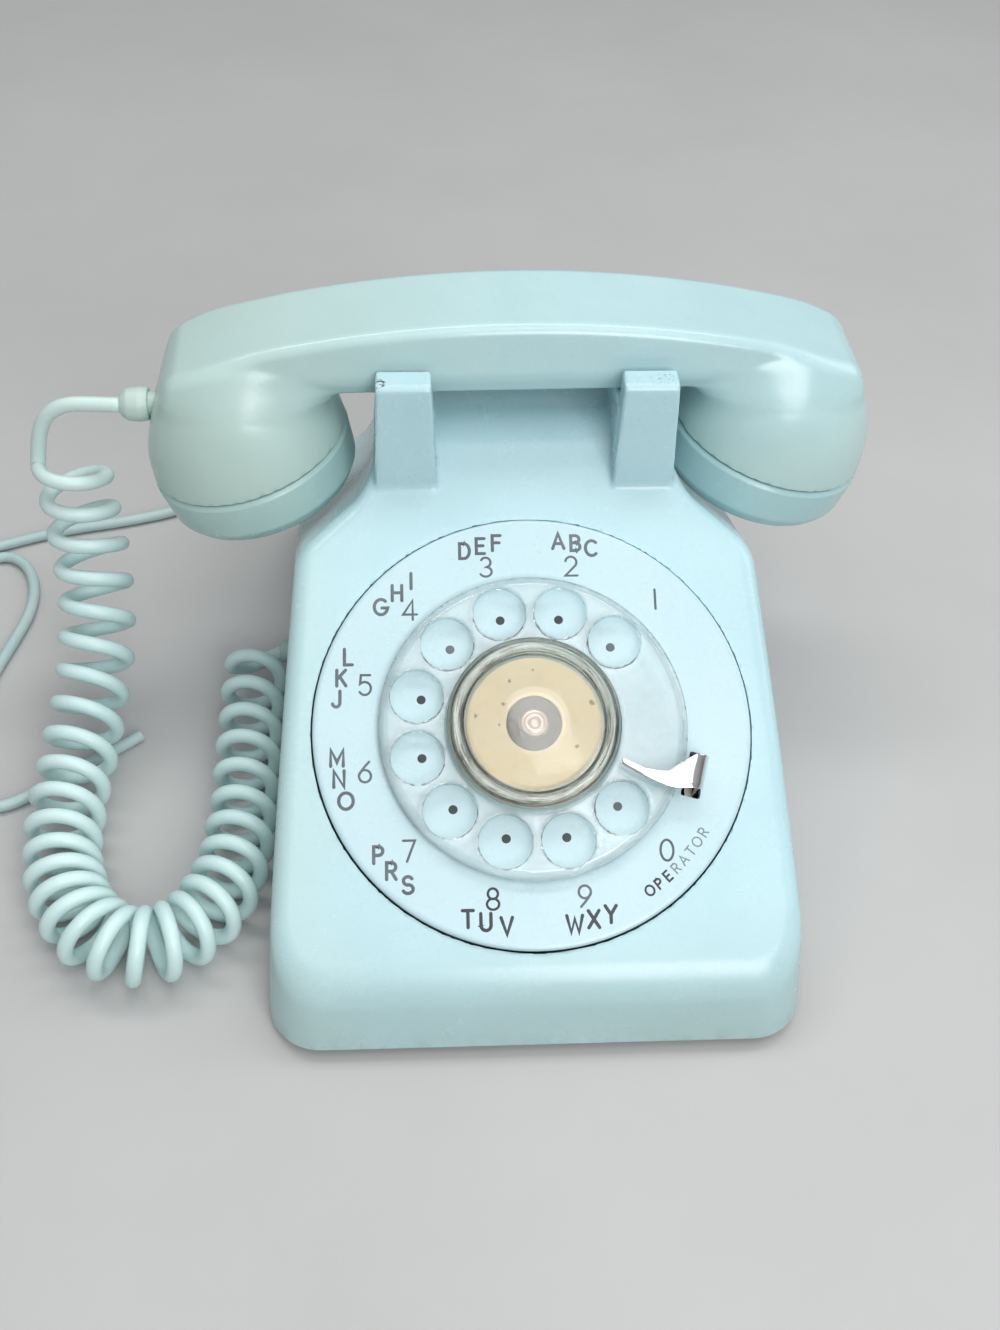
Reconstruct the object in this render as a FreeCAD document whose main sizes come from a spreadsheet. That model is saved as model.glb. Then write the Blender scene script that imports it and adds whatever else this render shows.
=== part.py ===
import FreeCAD, Part
import Sketcher
import math
import os
import re
from types import SimpleNamespace

# Rotary desk telephone: sloping-face housing on a steel baseplate, dial, ringer,
# network, hookswitch, handset in a four-pronged cradle, curly cord and line cord.
# Frame: +Z up, +X to the viewer's right, the dial faces -Y, origin on the surface
# it stands on, under the middle of the object.  Millimetres.

V = FreeCAD.Vector
Rot = FreeCAD.Rotation
Place = FreeCAD.Placement
os.makedirs("parts", exist_ok=True)
doc = FreeCAD.newDocument("desk_telephone")

SIZES = [
    # housing
    ("base_width", 138.0), ("base_depth", 224.0), ("base_lift", 4.5), ("base_corner", 16.0),
    ("base_draft", 6.0), ("wall", 2.6), ("block_height", 112.0),
    ("face_tilt", 30.7), ("dial_y", -50.7), ("dial_z", 56.4), ("plate_stand", 1.5),
    ("saddle_y", 24.0), ("saddle_z", 99.0), ("neck_half", 41.0),
    ("prong_top", 120.4), ("prong_foot", 86.0), ("prong_outer", 39.4), ("prong_inner", 25.0),
    ("prong_front", 9.4), ("prong_thick", 5.8), ("cradle_y", 35.0),
    ("pad_top", 111.0), ("pad_foot", 97.4), ("plunger_x", 32.2), ("plunger_radius", 3.4),
    ("plunger_travel", 5.0), ("fit_gap", 0.06),
    # base
    ("plate_thick", 1.5), ("foot_radius", 12.0), ("foot_height", 4.3), ("foot_x", 55.0), ("foot_y", 98.0),
    # dial
    ("plate_radius", 57.0), ("plate_deep", 3.4), ("wheel_radius", 39.4), ("wheel_low", 1.2),
    ("wheel_thick", 2.6), ("hole_circle", 31.0), ("hole_radius", 6.9), ("hole_start", 45.0),
    ("hub_radius", 22.4), ("hub_top", 5.6), ("retainer_top", 9.0), ("card_radius", 17.3),
    ("card_bore", 7.3), ("shaft_radius", 3.0), ("frame_radius", 40.0), ("frame_thick", 3.0),
    ("bridge_deep", 26.0), ("gear_module", 0.75), ("gear_teeth", 48.0), ("pinion_teeth", 12.0),
    ("fast_module", 0.6), ("fast_teeth", 40.0), ("fast_pinion_teeth", 10.0),
    ("mid_angle", 225.0), ("governor_angle", 187.0),
    # ringer
    ("gong_radius", 24.0), ("gong_height", 14.0), ("gong_x", 30.5), ("gong_y", 15.0), ("gong_z", 21.0),
    # hookswitch
    ("pivot_y", 58.0), ("pivot_z", 70.0), ("lever_top", 72.6),
    # handset
    ("handset_half", 104.0), ("handset_y", 35.0), ("handset_shift", -1.55), ("handset_yaw", 1.6),
    ("handle_top", 131.7), ("handle_under", 111.3), ("boot_z", 100.0),
    ("handle_width", 34.4), ("cap_x", 73.6), ("seam_z", 85.0), ("cap_tilt", 15.0),
    ("cap_radius", 28.6), ("cap_height", 14.0), ("cup_radius", 28.0), ("cup_bore", 23.0),
    # cords
    ("cord_diameter", 4.3), ("curl_diameter", 19.6), ("line_diameter", 3.6),
    ("coil_radius", 19.5), ("coil_width", 11.0), ("coil_height", 14.2), ("coil_x", -203.0), ("coil_y", 62.0),
]
sheet = doc.addObject("Spreadsheet::Sheet", "Dims")
for row, (alias, value) in enumerate(SIZES, 1):
    sheet.set("A%d" % row, alias)
    sheet.set("B%d" % row, str(value))
    sheet.setAlias("B%d" % row, alias)
doc.recompute()
d = SimpleNamespace(**{alias: float(sheet.get(alias)) for alias, _ in SIZES})
ALIASES = {alias for alias, _ in SIZES}


def bound(text):
    """Spell a size in terms of the sheet's cells."""
    return re.sub(r"[a-z][a-z0-9_]*",
                  lambda m: "Dims." + m.group(0) if m.group(0) in ALIASES else m.group(0), text)


def prim(kind, name, at=(0, 0, 0), rot=None, **sizes):
    o = doc.addObject("Part::" + kind, name)
    for prop, size in sizes.items():
        if isinstance(size, str):
            o.setExpression(prop, bound(size))
        else:
            setattr(o, prop, size)
    o.Placement = Place(V(*at), rot if rot else Rot())
    return o


def cyl(name, radius, height, at=(0, 0, 0), rot=None):
    return prim("Cylinder", name, at, rot, Radius=radius, Height=height)


def box(name, length, width, height, at=(0, 0, 0), rot=None):
    return prim("Box", name, at, rot, Length=length, Width=width, Height=height)


def cone(name, r1, r2, height, at=(0, 0, 0), rot=None):
    return prim("Cone", name, at, rot, Radius1=r1, Radius2=r2, Height=height)


def fuse(name, *objs):
    o = doc.addObject("Part::MultiFuse", name)
    o.Shapes = list(objs)
    return o


def cut(name, base, *tools):
    o = doc.addObject("Part::Cut", name)
    o.Base = base
    o.Tool = tools[0] if len(tools) == 1 else fuse(name + "_tool", *tools)
    return o


def common(name, *objs):
    o = doc.addObject("Part::MultiCommon", name)
    o.Shapes = list(objs)
    return o


def group(name, *objs):
    o = doc.addObject("Part::Compound", name)
    o.Links = list(objs)
    return o


NODES = {}


def node(name, o, place=None):
    o.Label = name
    if place is not None:
        o.Placement = place
    NODES[name] = o
    return o


def draw(sk, pts):
    """A closed outline whose corners are each set from the sketch's origin."""
    n = len(pts)
    val = [(p[0][0] if isinstance(p[0], tuple) else p[0], p[1][0] if isinstance(p[1], tuple) else p[1]) for p in pts]
    for i in range(n):
        a, b = val[i], val[(i + 1) % n]
        sk.addGeometry(Part.LineSegment(V(a[0], a[1], 0), V(b[0], b[1], 0)), False)
    cons, exprs = [], []
    for i in range(n):
        cons.append(Sketcher.Constraint("Coincident", i, 2, (i + 1) % n, 1))
    for i, p in enumerate(pts):
        for axis, c in (("DistanceX", p[0]), ("DistanceY", p[1])):
            v = c[0] if isinstance(c, tuple) else c
            cons.append(Sketcher.Constraint(axis, -1, 1, i, 1, v))
            if isinstance(c, tuple):
                exprs.append((len(cons) - 1, c[1]))
    sk.addConstraint(cons)
    for i, e in exprs:
        sk.setExpression("Constraints[%d]" % i, bound(e))


def pad_body(name, plane, pts, length, symmetric=True, taper=None, offset=0.0):
    b = doc.addObject("PartDesign::Body", name)
    sk = b.newObject("Sketcher::SketchObject", name + "_sketch")
    sk.AttachmentSupport = [(next(f for f in b.Origin.OriginFeatures if f.Role == plane), "")]
    sk.MapMode = "FlatFace"
    sk.AttachmentOffset = Place(V(0, 0, offset), Rot())
    draw(sk, pts)
    pad = b.newObject("PartDesign::Pad", name + "_pad")
    pad.Profile = sk
    pad.setExpression("Length", bound(length))
    if symmetric:
        if hasattr(pad, "SideType"):
            pad.SideType = "Symmetric"
        else:
            pad.Midplane = True
    if taper:
        pad.setExpression("TaperAngle", bound(taper))
    sk.Visibility = False
    return b


def turn_body(name, pts):
    """A body turned about the Z axis from an outline in the XZ plane."""
    b = doc.addObject("PartDesign::Body", name)
    sk = b.newObject("Sketcher::SketchObject", name + "_sketch")
    sk.AttachmentSupport = [(next(f for f in b.Origin.OriginFeatures if f.Role == "XZ_Plane"), "")]
    sk.MapMode = "FlatFace"
    draw(sk, pts)
    rev = b.newObject("PartDesign::Revolution", name + "_turn")
    rev.Profile = sk
    rev.ReferenceAxis = (sk, ["V_Axis"])
    rev.Angle = 360.0
    sk.Visibility = False
    return b


def rounded(hx, hy, r, steps=3):
    pts = []
    for cx, cy, a0 in ((hx - r, hy - r, 0), (-hx + r, hy - r, 90), (-hx + r, -hy + r, 180), (hx - r, -hy + r, 270)):
        for k in range(steps + 1):
            a = math.radians(a0 + 90.0 * k / steps)
            pts.append((cx + r * math.cos(a), cy + r * math.sin(a)))
    return pts


def inset(poly, w):
    """The same convex-or-nearly outline, each side moved inwards by w (outline runs anticlockwise)."""
    n = len(poly)
    lines = []
    for i in range(n):
        (x0, y0), (x1, y1) = poly[i], poly[(i + 1) % n]
        l = math.hypot(x1 - x0, y1 - y0)
        nx, ny = -(y1 - y0) / l, (x1 - x0) / l
        lines.append((nx, ny, nx * x0 + ny * y0 + w))
    out = []
    for i in range(n):
        a, b = lines[i - 1], lines[i]
        det = a[0] * b[1] - a[1] * b[0]
        out.append(((a[2] * b[1] - a[1] * b[2]) / det, (a[0] * b[2] - a[2] * b[0]) / det))
    return out


RX = V(1, 0, 0)
RY = V(0, 1, 0)
RZ = V(0, 0, 1)
TO_X = Rot(RY, 90)      # a primitive's own Z turned to +X
TO_Y = Rot(RX, -90)     # a primitive's own Z turned to +Y
tilt = math.radians(d.face_tilt)
DIAL = Place(V(0, d.dial_y, d.dial_z), Rot(RX, d.face_tilt))   # dial's own Z is its shaft, towards the user

# ------------------------------------------------------------------ housing
face_c = (d.dial_y + d.plate_stand * math.sin(tilt), d.dial_z - d.plate_stand * math.cos(tilt))


def face_z(y):
    return face_c[1] + (y - face_c[0]) * math.tan(tilt)


hw, hd = d.base_width / 2, d.base_depth / 2
skirt_y = -106.6


def side(low):
    """Side profile: front skirt, sloping face, saddle and back slope, closed at height low."""
    front = -hd + (low - d.base_lift) * (skirt_y + hd) / (face_z(skirt_y) - d.base_lift)
    back = hd - (low - d.base_lift) * (hd - 103.0) / (32.0 - d.base_lift)
    return [(front, low), (back, low), (103.0, 32.0), (66.0, d.saddle_z - 4.0), (58.0, d.saddle_z),
            (d.saddle_y, face_z(d.saddle_y)), (skirt_y, face_z(skirt_y))]


def shell_solid(tag, w):
    floor = d.base_lift - (4.0 if w else 0.0)
    foot = [(hx - math.copysign(w, hx), hy - math.copysign(w, hy)) for hx, hy in rounded(hw, hd, d.base_corner)]
    block = pad_body(tag + "_block", "XY_Plane", foot, "block_height", symmetric=False,
                     taper="-base_draft", offset=floor)
    prof_pts = inset(side(floor - w), w) if w else side(floor)
    prof = pad_body(tag + "_profile", "YZ_Plane", prof_pts, "base_width + 20")
    wedge = common(tag + "_wedge", block, prof)
    # shoulders: the top falls away outside the neck, from the diagonal edges of the face
    tools = []
    for s in (-1, 1):
        a = V(s * 60.5, -8.0, face_z(-8.0))
        b = V(s * d.neck_half, 8.0, face_z(8.0))
        e = b - a
        down = V(0, 1, -0.45)
        n = e.cross(down)
        if n.z < 0:
            n = n * -1
        n.normalize()
        e.normalize()
        rot = Rot(e, n.cross(e), n, "ZXY")
        start = a - n * w
        slab = box("%s_slope_%s" % (tag, "l" if s < 0 else "r"), 320.0, 320.0, 120.0)
        slab.Placement = Place(start + rot.multVec(V(-160, -160, 0)), rot)
        tools.append(slab)
    neck = box(tag + "_neck", "2*neck_half - %g" % (2 * w), 300.0, 200.0,
               at=(-(d.neck_half - w), -150.0, 0))
    slopes = cut(tag + "_slopes", fuse(tag + "_slope_pair", *tools), neck)
    return cut(tag + "_trimmed", wedge, slopes)


outer = shell_solid("outer", 0.0)
inner = shell_solid("inner", d.wall)
# hand-hold recess behind the saddle, for carrying the set
recess = box("recess", 44.0, 60.0, 60.0, at=(-22.0, 44.0, 80.0))
recess_wall = box("recess_wall", "44 + 2*wall", "60 + wall", "60 + wall",
                  at=(-22.0 - d.wall, 44.0 - d.wall, 80.0 - d.wall))
cavity = cut("cavity", inner, recess_wall)
shell = cut("shell", outer, cavity, recess)
cradle = []
for s in (-1, 1):
    side_name = "l" if s < 0 else "r"
    cradle.append(box("pad_" + side_name, "prong_outer - prong_inner + 1.2", "46.0", "pad_top - pad_foot",
                      at=(s * 32.2 - (d.prong_outer - d.prong_inner + 1.2) / 2, 12.0, d.pad_foot)))
    for f in (-1, 1):
        # tapered prong, leaning back a little, its thin end up
        name = "prong_%s_%s" % (side_name, "f" if f < 0 else "b")
        p = doc.addObject("Part::Wedge", name)
        half = (d.prong_outer - d.prong_inner) / 2
        p.Xmin, p.Xmax = -half - 1.2, half + 1.2
        p.X2min, p.X2max = -half, half
        p.setExpression("Ymin", "0")
        p.setExpression("Ymax", bound("prong_top - prong_foot"))
        p.Zmin, p.Zmax = 0.0, d.prong_thick + 2.2
        p.Z2min, p.Z2max = 0.0, d.prong_thick
        inner_y = d.prong_front + d.prong_thick
        if f < 0:
            p.Placement = Place(V(s * 32.2, inner_y, d.prong_foot), Rot(RX, 90))
        else:
            p.Placement = Place(V(s * 32.2, 2 * d.cradle_y - inner_y, d.prong_foot),
                                Rot(RZ, 180).multiply(Rot(RX, 90)))
        cradle.append(p)
bosses = [cyl("boss_front", 4.6, 14.0, at=(0, -100.0, 6.6)), cyl("boss_back", 4.6, 22.0, at=(0, 102.0, 6.6))]
bosses = [common("boss_%d" % i, b, outer) for i, b in enumerate(bosses)]
body = fuse("housing_body", shell, *cradle, *bosses)
holes = [cyl("dial_hole", "plate_radius + 0.5", 40.0)]
holes[0].Placement = DIAL.multiply(Place(V(0, 0, -20), Rot()))
for s in (-1, 1):
    holes.append(cyl("plunger_hole_%d" % (s + 1), "plunger_radius + fit_gap", 60.0, at=(s * d.plunger_x, d.cradle_y, 80.0)))
holes.append(cyl("boss_hole_front", 1.55, 16.0, at=(0, -100.0, 0)))
holes.append(cyl("boss_hole_back", 1.55, 22.0, at=(0, 102.0, 0)))
holes.append(cyl("curl_hole", 3.7, 20.0, at=(-80.0, 24.0, 12.0), rot=TO_X))
holes.append(cyl("line_hole", 4.2, 20.0, at=(-30.0, 100.0, 12.0), rot=TO_Y))
node("housing", cut("housing", body, *holes))

# ------------------------------------------------------------------ baseplate, feet, screws
plate = pad_body("plate_blank", "XY_Plane", rounded(hw - 4.3, hd - 4.3, 16.0, 5), "plate_thick", symmetric=False, offset=5.0)
slots = [box("volume_slot", 5.0, 22.0, 6.0, at=(49.5, -31.0, 3.0))]
for i, (x, y) in enumerate(((0, -100.0), (0, 102.0))):
    slots.append(cyl("plate_hole_%d" % i, 1.7, 6.0, at=(x, y, 3.0)))
for i, (x, y) in enumerate(((-1, -1), (1, -1), (-1, 1), (1, 1))):
    slots.append(cyl("foot_hole_%d" % i, 3.0, 6.0, at=(x * d.foot_x, y * d.foot_y, 3.0)))
node("baseplate", cut("baseplate", plate, *slots))
feet = []
for i, (x, y) in enumerate(((-1, -1), (1, -1), (-1, 1), (1, 1))):
    c = (x * d.foot_x, y * d.foot_y)
    feet.append(fuse("foot_%d" % i, cone("foot_pad_%d" % i, "foot_radius", "foot_radius - 1", "foot_height", at=(c[0], c[1], 0)),
                     cyl("foot_boss_%d" % i, 7.0, 1.0, at=(c[0], c[1], 4.0)),
                     cyl("foot_stem_%d" % i, 2.9, 2.6, at=(c[0], c[1], 4.5)),
                     cone("foot_lip_%d" % i, 3.9, 2.4, 2.0, at=(c[0], c[1], 6.6))))
node("rubber_feet", group("rubber_feet", *feet))
screws = []
for i, (x, y, l) in enumerate(((0, -100.0, 11.0), (0, 102.0, 17.0))):
    head = cyl("screw_head_%d" % i, 3.4, 1.8, at=(x, y, 3.15))
    slot = box("screw_slot_%d" % i, 8.0, 0.9, 0.8, at=(x - 4.0, y - 0.45, 3.0))
    screws.append(cut("screw_%d" % i, fuse("screw_blank_%d" % i, head, cyl("screw_shank_%d" % i, 1.5, l, at=(x, y, 3.3))), slot))
node("housing_screws", group("housing_screws", *screws))
plate_top = 5.0 + d.plate_thick

# ------------------------------------------------------------------ network and its terminals
can = box("network_can", 62.0, 44.0, 28.0, at=(-31.0, 51.0, plate_top))
lid = box("network_lid", 66.0, 46.0, 3.0, at=(-33.0, 50.0, plate_top + 28.0))
posts, pegs = [], []
net_top = plate_top + 31.0
for i in range(6):
    for j in (0, 1):
        x, y = -27.5 + 11.0 * i, 54.0 + 37.0 * j
        posts.append(cyl("terminal_hole_%d_%d" % (i, j), 1.25, 3.0, at=(x, y, net_top - 2.5)))
        pegs.append(fuse("terminal_%d_%d" % (i, j), cyl("terminal_shank_%d_%d" % (i, j), 1.2, 3.0, at=(x, y, net_top - 2.3)),
                         cyl("terminal_head_%d_%d" % (i, j), 2.4, 1.4, at=(x, y, net_top + 0.4))))
node("network_block", cut("network_block", fuse("network_body", can, lid), *posts))
node("network_terminal_screws", group("network_terminal_screws", *pegs))

# ------------------------------------------------------------------ ringer
gx, gy = d.gong_x, d.gong_y
rframe = [box("ringer_base", 78.0, 14.0, 3.0, at=(-39.0, gy - 7.0, plate_top)),
          box("ringer_tail", 26.0, 28.0, 3.0, at=(-13.0, gy + 5.0, plate_top))]
for s in (-1, 1):
    rframe.append(cyl("gong_post_%d" % (s + 1), 4.0, d.gong_z + 9.0 - plate_top, at=(s * gx, gy, plate_top)))
rholes = [cyl("gong_tap_%d" % (s + 1), 1.55, 8.0, at=(s * gx, gy, d.gong_z + 3.0)) for s in (-1, 1)]
rholes.append(cyl("clapper_bore", 1.56, 8.0, at=(0, gy + 15.0, 4.0)))
node("ringer_frame", cut("ringer_frame", fuse("ringer_blank", *rframe), *rholes))
coil = cut("ringer_coil", fuse("coil_blank", cyl("coil_winding", 6.8, 20.0, at=(-10.0, 41.0, 19.0), rot=TO_X),
                               box("coil_end_l", 1.6, 14.0, 17.0, at=(-11.6, 34.0, plate_top + 3.0)),
                               box("coil_end_r", 1.6, 14.0, 17.0, at=(10.0, 34.0, plate_top + 3.0))),
           cyl("coil_core", 2.5, 40.0, at=(-20.0, 41.0, 19.0), rot=TO_X))
node("ringer_coil", coil)
gr, gh = d.gong_radius, d.gong_height
for s, name in ((-1, "bell_gong_left"), (1, "bell_gong_right")):
    b = turn_body(name, [((gr, "gong_radius"), 0.0), ((gr - 1.4, "gong_radius - 1.4"), 0.0), (gr - 2.6, 6.0), (gr - 7.0, 10.0),
                         (gr - 14.0, gh - 1.4), (1.8, gh - 1.4), (1.8, (gh, "gong_height")), (gr - 13.2, gh),
                         (gr - 6.0, 11.4), (gr - 1.3, 6.6)])
    node(name, b, Place(V(s * gx, gy, d.gong_z - 3.6), Rot()))
gong_top = d.gong_z - 3.6 + gh
gscrews = []
for s in (-1, 1):
    gscrews.append(fuse("gong_screw_%d" % (s + 1), cyl("gong_shank_%d" % (s + 1), 1.5, 7.0, at=(s * gx, gy, gong_top - 6.0)),
                        cyl("gong_head_%d" % (s + 1), 3.4, 2.0, at=(s * gx, gy, gong_top + 0.9))))
node("gong_screws", group("gong_screws", *gscrews))
# clapper: upright pivot, arm, ball between the gongs, armature tail under the coil
cl_z = 20.0
clapper = fuse("clapper", cyl("clapper_pivot", 1.5, cl_z + 1.0 - 6.7, at=(0, gy + 15.0, 6.7)),
               box("clapper_arm", 1.6, 17.0, 1.6, at=(-0.8, gy - 2.0, cl_z - 0.8)),
               prim("Sphere", "clapper_ball", at=(0, gy - 3.0, cl_z), Radius=3.4),
               cyl("clapper_collar", 3.0, 2.4, at=(0, gy + 15.0, cl_z - 1.4)))
node("clapper", clapper)

# ------------------------------------------------------------------ ringer volume wheel under the base
vx, vy, vz = 52.0, -20.0, 13.0
wheel_teeth = [cyl("volume_notch_%d" % i, 0.9, 6.0, at=(vx - 3.0, vy + 10.8 * math.cos(2 * math.pi * i / 20),
                                                        vz + 10.8 * math.sin(2 * math.pi * i / 20)), rot=TO_X) for i in range(20)]
node("ringer_volume_wheel", cut("ringer_volume_wheel",
     fuse("volume_blank", cyl("volume_disc", 10.4, 3.6, at=(vx - 1.8, vy, vz), rot=TO_X),
          cyl("volume_pin", 1.5, 13.0, at=(vx - 6.5, vy, vz), rot=TO_X)), *wheel_teeth))
ears = []
for s in (-1, 1):
    ears.append(box("volume_ear_%d" % (s + 1), 1.4, 8.0, 10.0, at=(vx + s * 5.0 - 0.7, vy - 4.0, plate_top)))
    ears.append(box("volume_foot_%d" % (s + 1), 5.0, 8.0, 1.4, at=(vx + (4.3 if s > 0 else -9.3), vy - 4.0, plate_top)))
for s in (-1, 1):
    ears[2 * (s > 0)] = cut("volume_eye_%d" % (s + 1), ears[2 * (s > 0)],
                            cyl("volume_bore_%d" % (s + 1), 1.56, 6.0, at=(vx + s * 5.0 - 3.0, vy, vz), rot=TO_X))
node("volume_wheel_brackets", group("volume_wheel_brackets", fuse("volume_ear_left", ears[0], ears[1]),
                                    fuse("volume_ear_right", ears[2], ears[3])))

# ------------------------------------------------------------------ hookswitch and plungers
py, pz = d.pivot_y, d.pivot_z
bracket = [box("hook_foot", 44.0, 10.0, 1.6, at=(-22.0, 58.0, net_top)),
           box("hook_shelf", 44.0, 20.0, 1.6, at=(-22.0, 38.0, 50.0))]
for s in (-1, 1):
    bracket.append(box("hook_upright_%d" % (s + 1), 1.6, 12.0, pz + 5.0 - net_top - 3.0, at=(s * 21.2 - 0.8, 52.0, net_top + 3.0)))
bracket.append(box("hook_spine", 44.0, 1.6, 22.0, at=(-22.0, 58.0, net_top)))
pin_bore = cyl("hook_pin_bore", 1.55, 60.0, at=(-30.0, py, pz), rot=TO_X)
node("hookswitch_bracket", cut("hookswitch_bracket", fuse("hook_blank", *bracket), pin_bore))
node("hook_pivot_pin", fuse("hook_pivot_pin", cyl("hook_pin", 1.5, 46.0, at=(-23.0, py, pz), rot=TO_X),
                            cyl("hook_pin_head", 2.6, 1.0, at=(-24.0, py, pz), rot=TO_X)))
lever = fuse("lever_blank", cyl("lever_tube", 3.2, 39.4, at=(-19.7, py, pz), rot=TO_X),
             box("lever_arm_l", 4.0, 22.0, 1.8, at=(-19.7, 36.5, d.lever_top - 1.8)),
             box("lever_arm_r", 4.0, 22.0, 1.8, at=(15.7, 36.5, d.lever_top - 1.8)),
             box("lever_bar", 72.0, 8.0, 1.8, at=(-36.0, 31.0, d.lever_top - 1.8)),
             box("lever_strap", 36.0, 9.0, 1.8, at=(-18.0, 39.0, d.lever_top - 1.8)))
node("hook_lever", cut("hook_lever", lever, cyl("lever_bore", 1.56, 60.0, at=(-30.0, py, pz), rot=TO_X)))
for s, name in ((-1, "plunger_left"), (1, "plunger_right")):
    x = s * d.plunger_x
    node(name, fuse(name, cyl(name + "_rod", "plunger_radius", "pad_top - lever_top - 0.6", at=(x, d.cradle_y, d.lever_top + 0.4)),
                    cyl(name + "_collar", 4.3, 2.0, at=(x, d.cradle_y, d.lever_top + 2.2))))
spring_path = Part.makeHelix(2.2, 17.6, 3.4)
spring_sec = Part.Wire([Part.makeCircle(0.45, V(3.4, 0, 0), V(0, 1, 0.12))])
spring = doc.addObject("Part::Feature", "hook_return_spring")
spring.Shape = Part.Wire(spring_path).makePipeShell([spring_sec], True, True)
node("hook_return_spring", spring, Place(V(0, 35.0 + 8.5, 52.2), Rot()))
blades = []
for i in range(3):
    blades.append(box("hook_blade_%d" % i, 5.0, 22.0, 0.5, at=(-14.0, 59.6, 50.0 + 3.0 * i)))
    blades.append(box("hook_blade_b%d" % i, 5.0, 22.0, 0.5, at=(9.0, 59.6, 50.0 + 3.0 * i)))
node("hook_contact_springs", group("hook_contact_springs", *blades))

# ------------------------------------------------------------------ dial, in its own frame (Z is the shaft)
pr = d.plate_radius
stop_slot = box("stop_slot", 4.6, 11.6, 12.0, at=(40.0, -19.2, -8.0))
plate_rim = turn_body("number_plate_blank", [(4.2, -d.plate_deep), ((pr, "plate_radius"), -d.plate_deep), ((pr, "plate_radius"), -0.7),
                                             (pr - 0.7, 0.0), (4.2, 0.0)])
node("dial_number_plate", cut("dial_number_plate", plate_rim, stop_slot), DIAL)
fb = -d.plate_deep
c_main = d.gear_module * (d.gear_teeth + d.pinion_teeth) / 2
c_fast = d.fast_module * (d.fast_teeth + d.fast_pinion_teeth) / 2
mid = (c_main * math.cos(math.radians(d.mid_angle)), c_main * math.sin(math.radians(d.mid_angle)))
# governor axis lies at governor_angle about the dial's centre, c_fast from the intermediate axis
ga = math.radians(d.governor_angle)
bq = mid[0] * math.cos(ga) + mid[1] * math.sin(ga)
gr2 = bq + math.sqrt(bq * bq - (c_main ** 2 - c_fast ** 2))
gov = (gr2 * math.cos(ga), gr2 * math.sin(ga))
frame_disc = cyl("frame_disc", "frame_radius", "frame_thick", at=(0, 0, fb - d.frame_thick))
legs = [cyl("frame_post_%d" % i, 2.6, d.bridge_deep - 6.4, at=(33.0 * math.cos(a), 33.0 * math.sin(a), -d.bridge_deep))
        for i, a in enumerate([math.radians(x) for x in (95, 275, 335)])]
tabs = [box("frame_tab_%d" % (s + 1), 2.0, 22.0, 16.0, at=((37.6 if s > 0 else -39.6), -11.0, -6.4 - 15.0)) for s in (-1, 1)]
frame_bores = [cyl("main_bore", "shaft_radius + fit_gap", 12.0, at=(0, 0, -10.0)),
               cyl("mid_bore", 1.56, 12.0, at=(mid[0], mid[1], -10.0)),
               cyl("gov_bore", 1.06, 12.0, at=(gov[0], gov[1], -10.0)),
               box("frame_stop_slot", 4.6, 11.6, 12.0, at=(38.0, -19.2, -10.0))]
for s in (-1, 1):
    for k in (-1, 1):
        frame_bores.append(cyl("tab_bore_%d_%d" % (s + 1, k + 1), 1.56, 14.0, at=(s * 38.6 - 7.0, k * 6.0, -15.0), rot=TO_X))
node("dial_frame", cut("dial_frame", fuse("frame_blank", frame_disc, *legs, *tabs), *frame_bores), DIAL)
bridge = cyl("bridge_disc", 36.5, 2.0, at=(0, 0, -d.bridge_deep - 2.0))
bridge_bores = [cyl("bridge_main", "shaft_radius + fit_gap", 6.0, at=(0, 0, -d.bridge_deep - 4.0)),
                cyl("bridge_mid", 1.56, 6.0, at=(mid[0], mid[1], -d.bridge_deep - 4.0)),
                cyl("bridge_gov", 1.06, 6.0, at=(gov[0], gov[1], -d.bridge_deep - 4.0)),
                cyl("bridge_window", 7.0, 6.0, at=(19.0, 14.0, -d.bridge_deep - 4.0))]
node("dial_rear_bridge", cut("dial_rear_bridge", bridge, *bridge_bores), DIAL)
# moving group on the main shaft
node("dial_shaft", cut("dial_shaft", cyl("shaft_rod", "shaft_radius", "bridge_deep + 2 + hub_top - 1.2", at=(0, 0, -d.bridge_deep - 2.0)),
                       cyl("shaft_tap", 1.3, 8.0, at=(0, 0, d.hub_top - 1.2 - 7.0))), DIAL)
disc = fuse("wheel_blank", cyl("wheel_disc", "wheel_radius", "wheel_thick", at=(0, 0, d.wheel_low)),
            cyl("wheel_hub", "hub_radius", "hub_top - wheel_low", at=(0, 0, d.wheel_low)))
finger = [cyl("finger_hole_%d" % i, "hole_radius", 12.0, at=(d.hole_circle * math.cos(math.radians(d.hole_start + 30 * i)),
                                                             d.hole_circle * math.sin(math.radians(d.hole_start + 30 * i)), -2.0)) for i in range(10)]
finger.append(cyl("wheel_bore", "shaft_radius + 0.02", 12.0, at=(0, 0, -2.0)))
finger.append(cyl("card_recess", 18.0, 3.0, at=(0, 0, d.hub_top - 1.2)))
node("finger_wheel", cut("finger_wheel", disc, *finger), DIAL)
node("number_card", cut("number_card", cyl("card_disc", "card_radius", 0.5, at=(0, 0, d.hub_top - 1.15)),
                        cyl("card_hole", "card_bore", 3.0, at=(0, 0, d.hub_top - 2.0))), DIAL)
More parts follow.
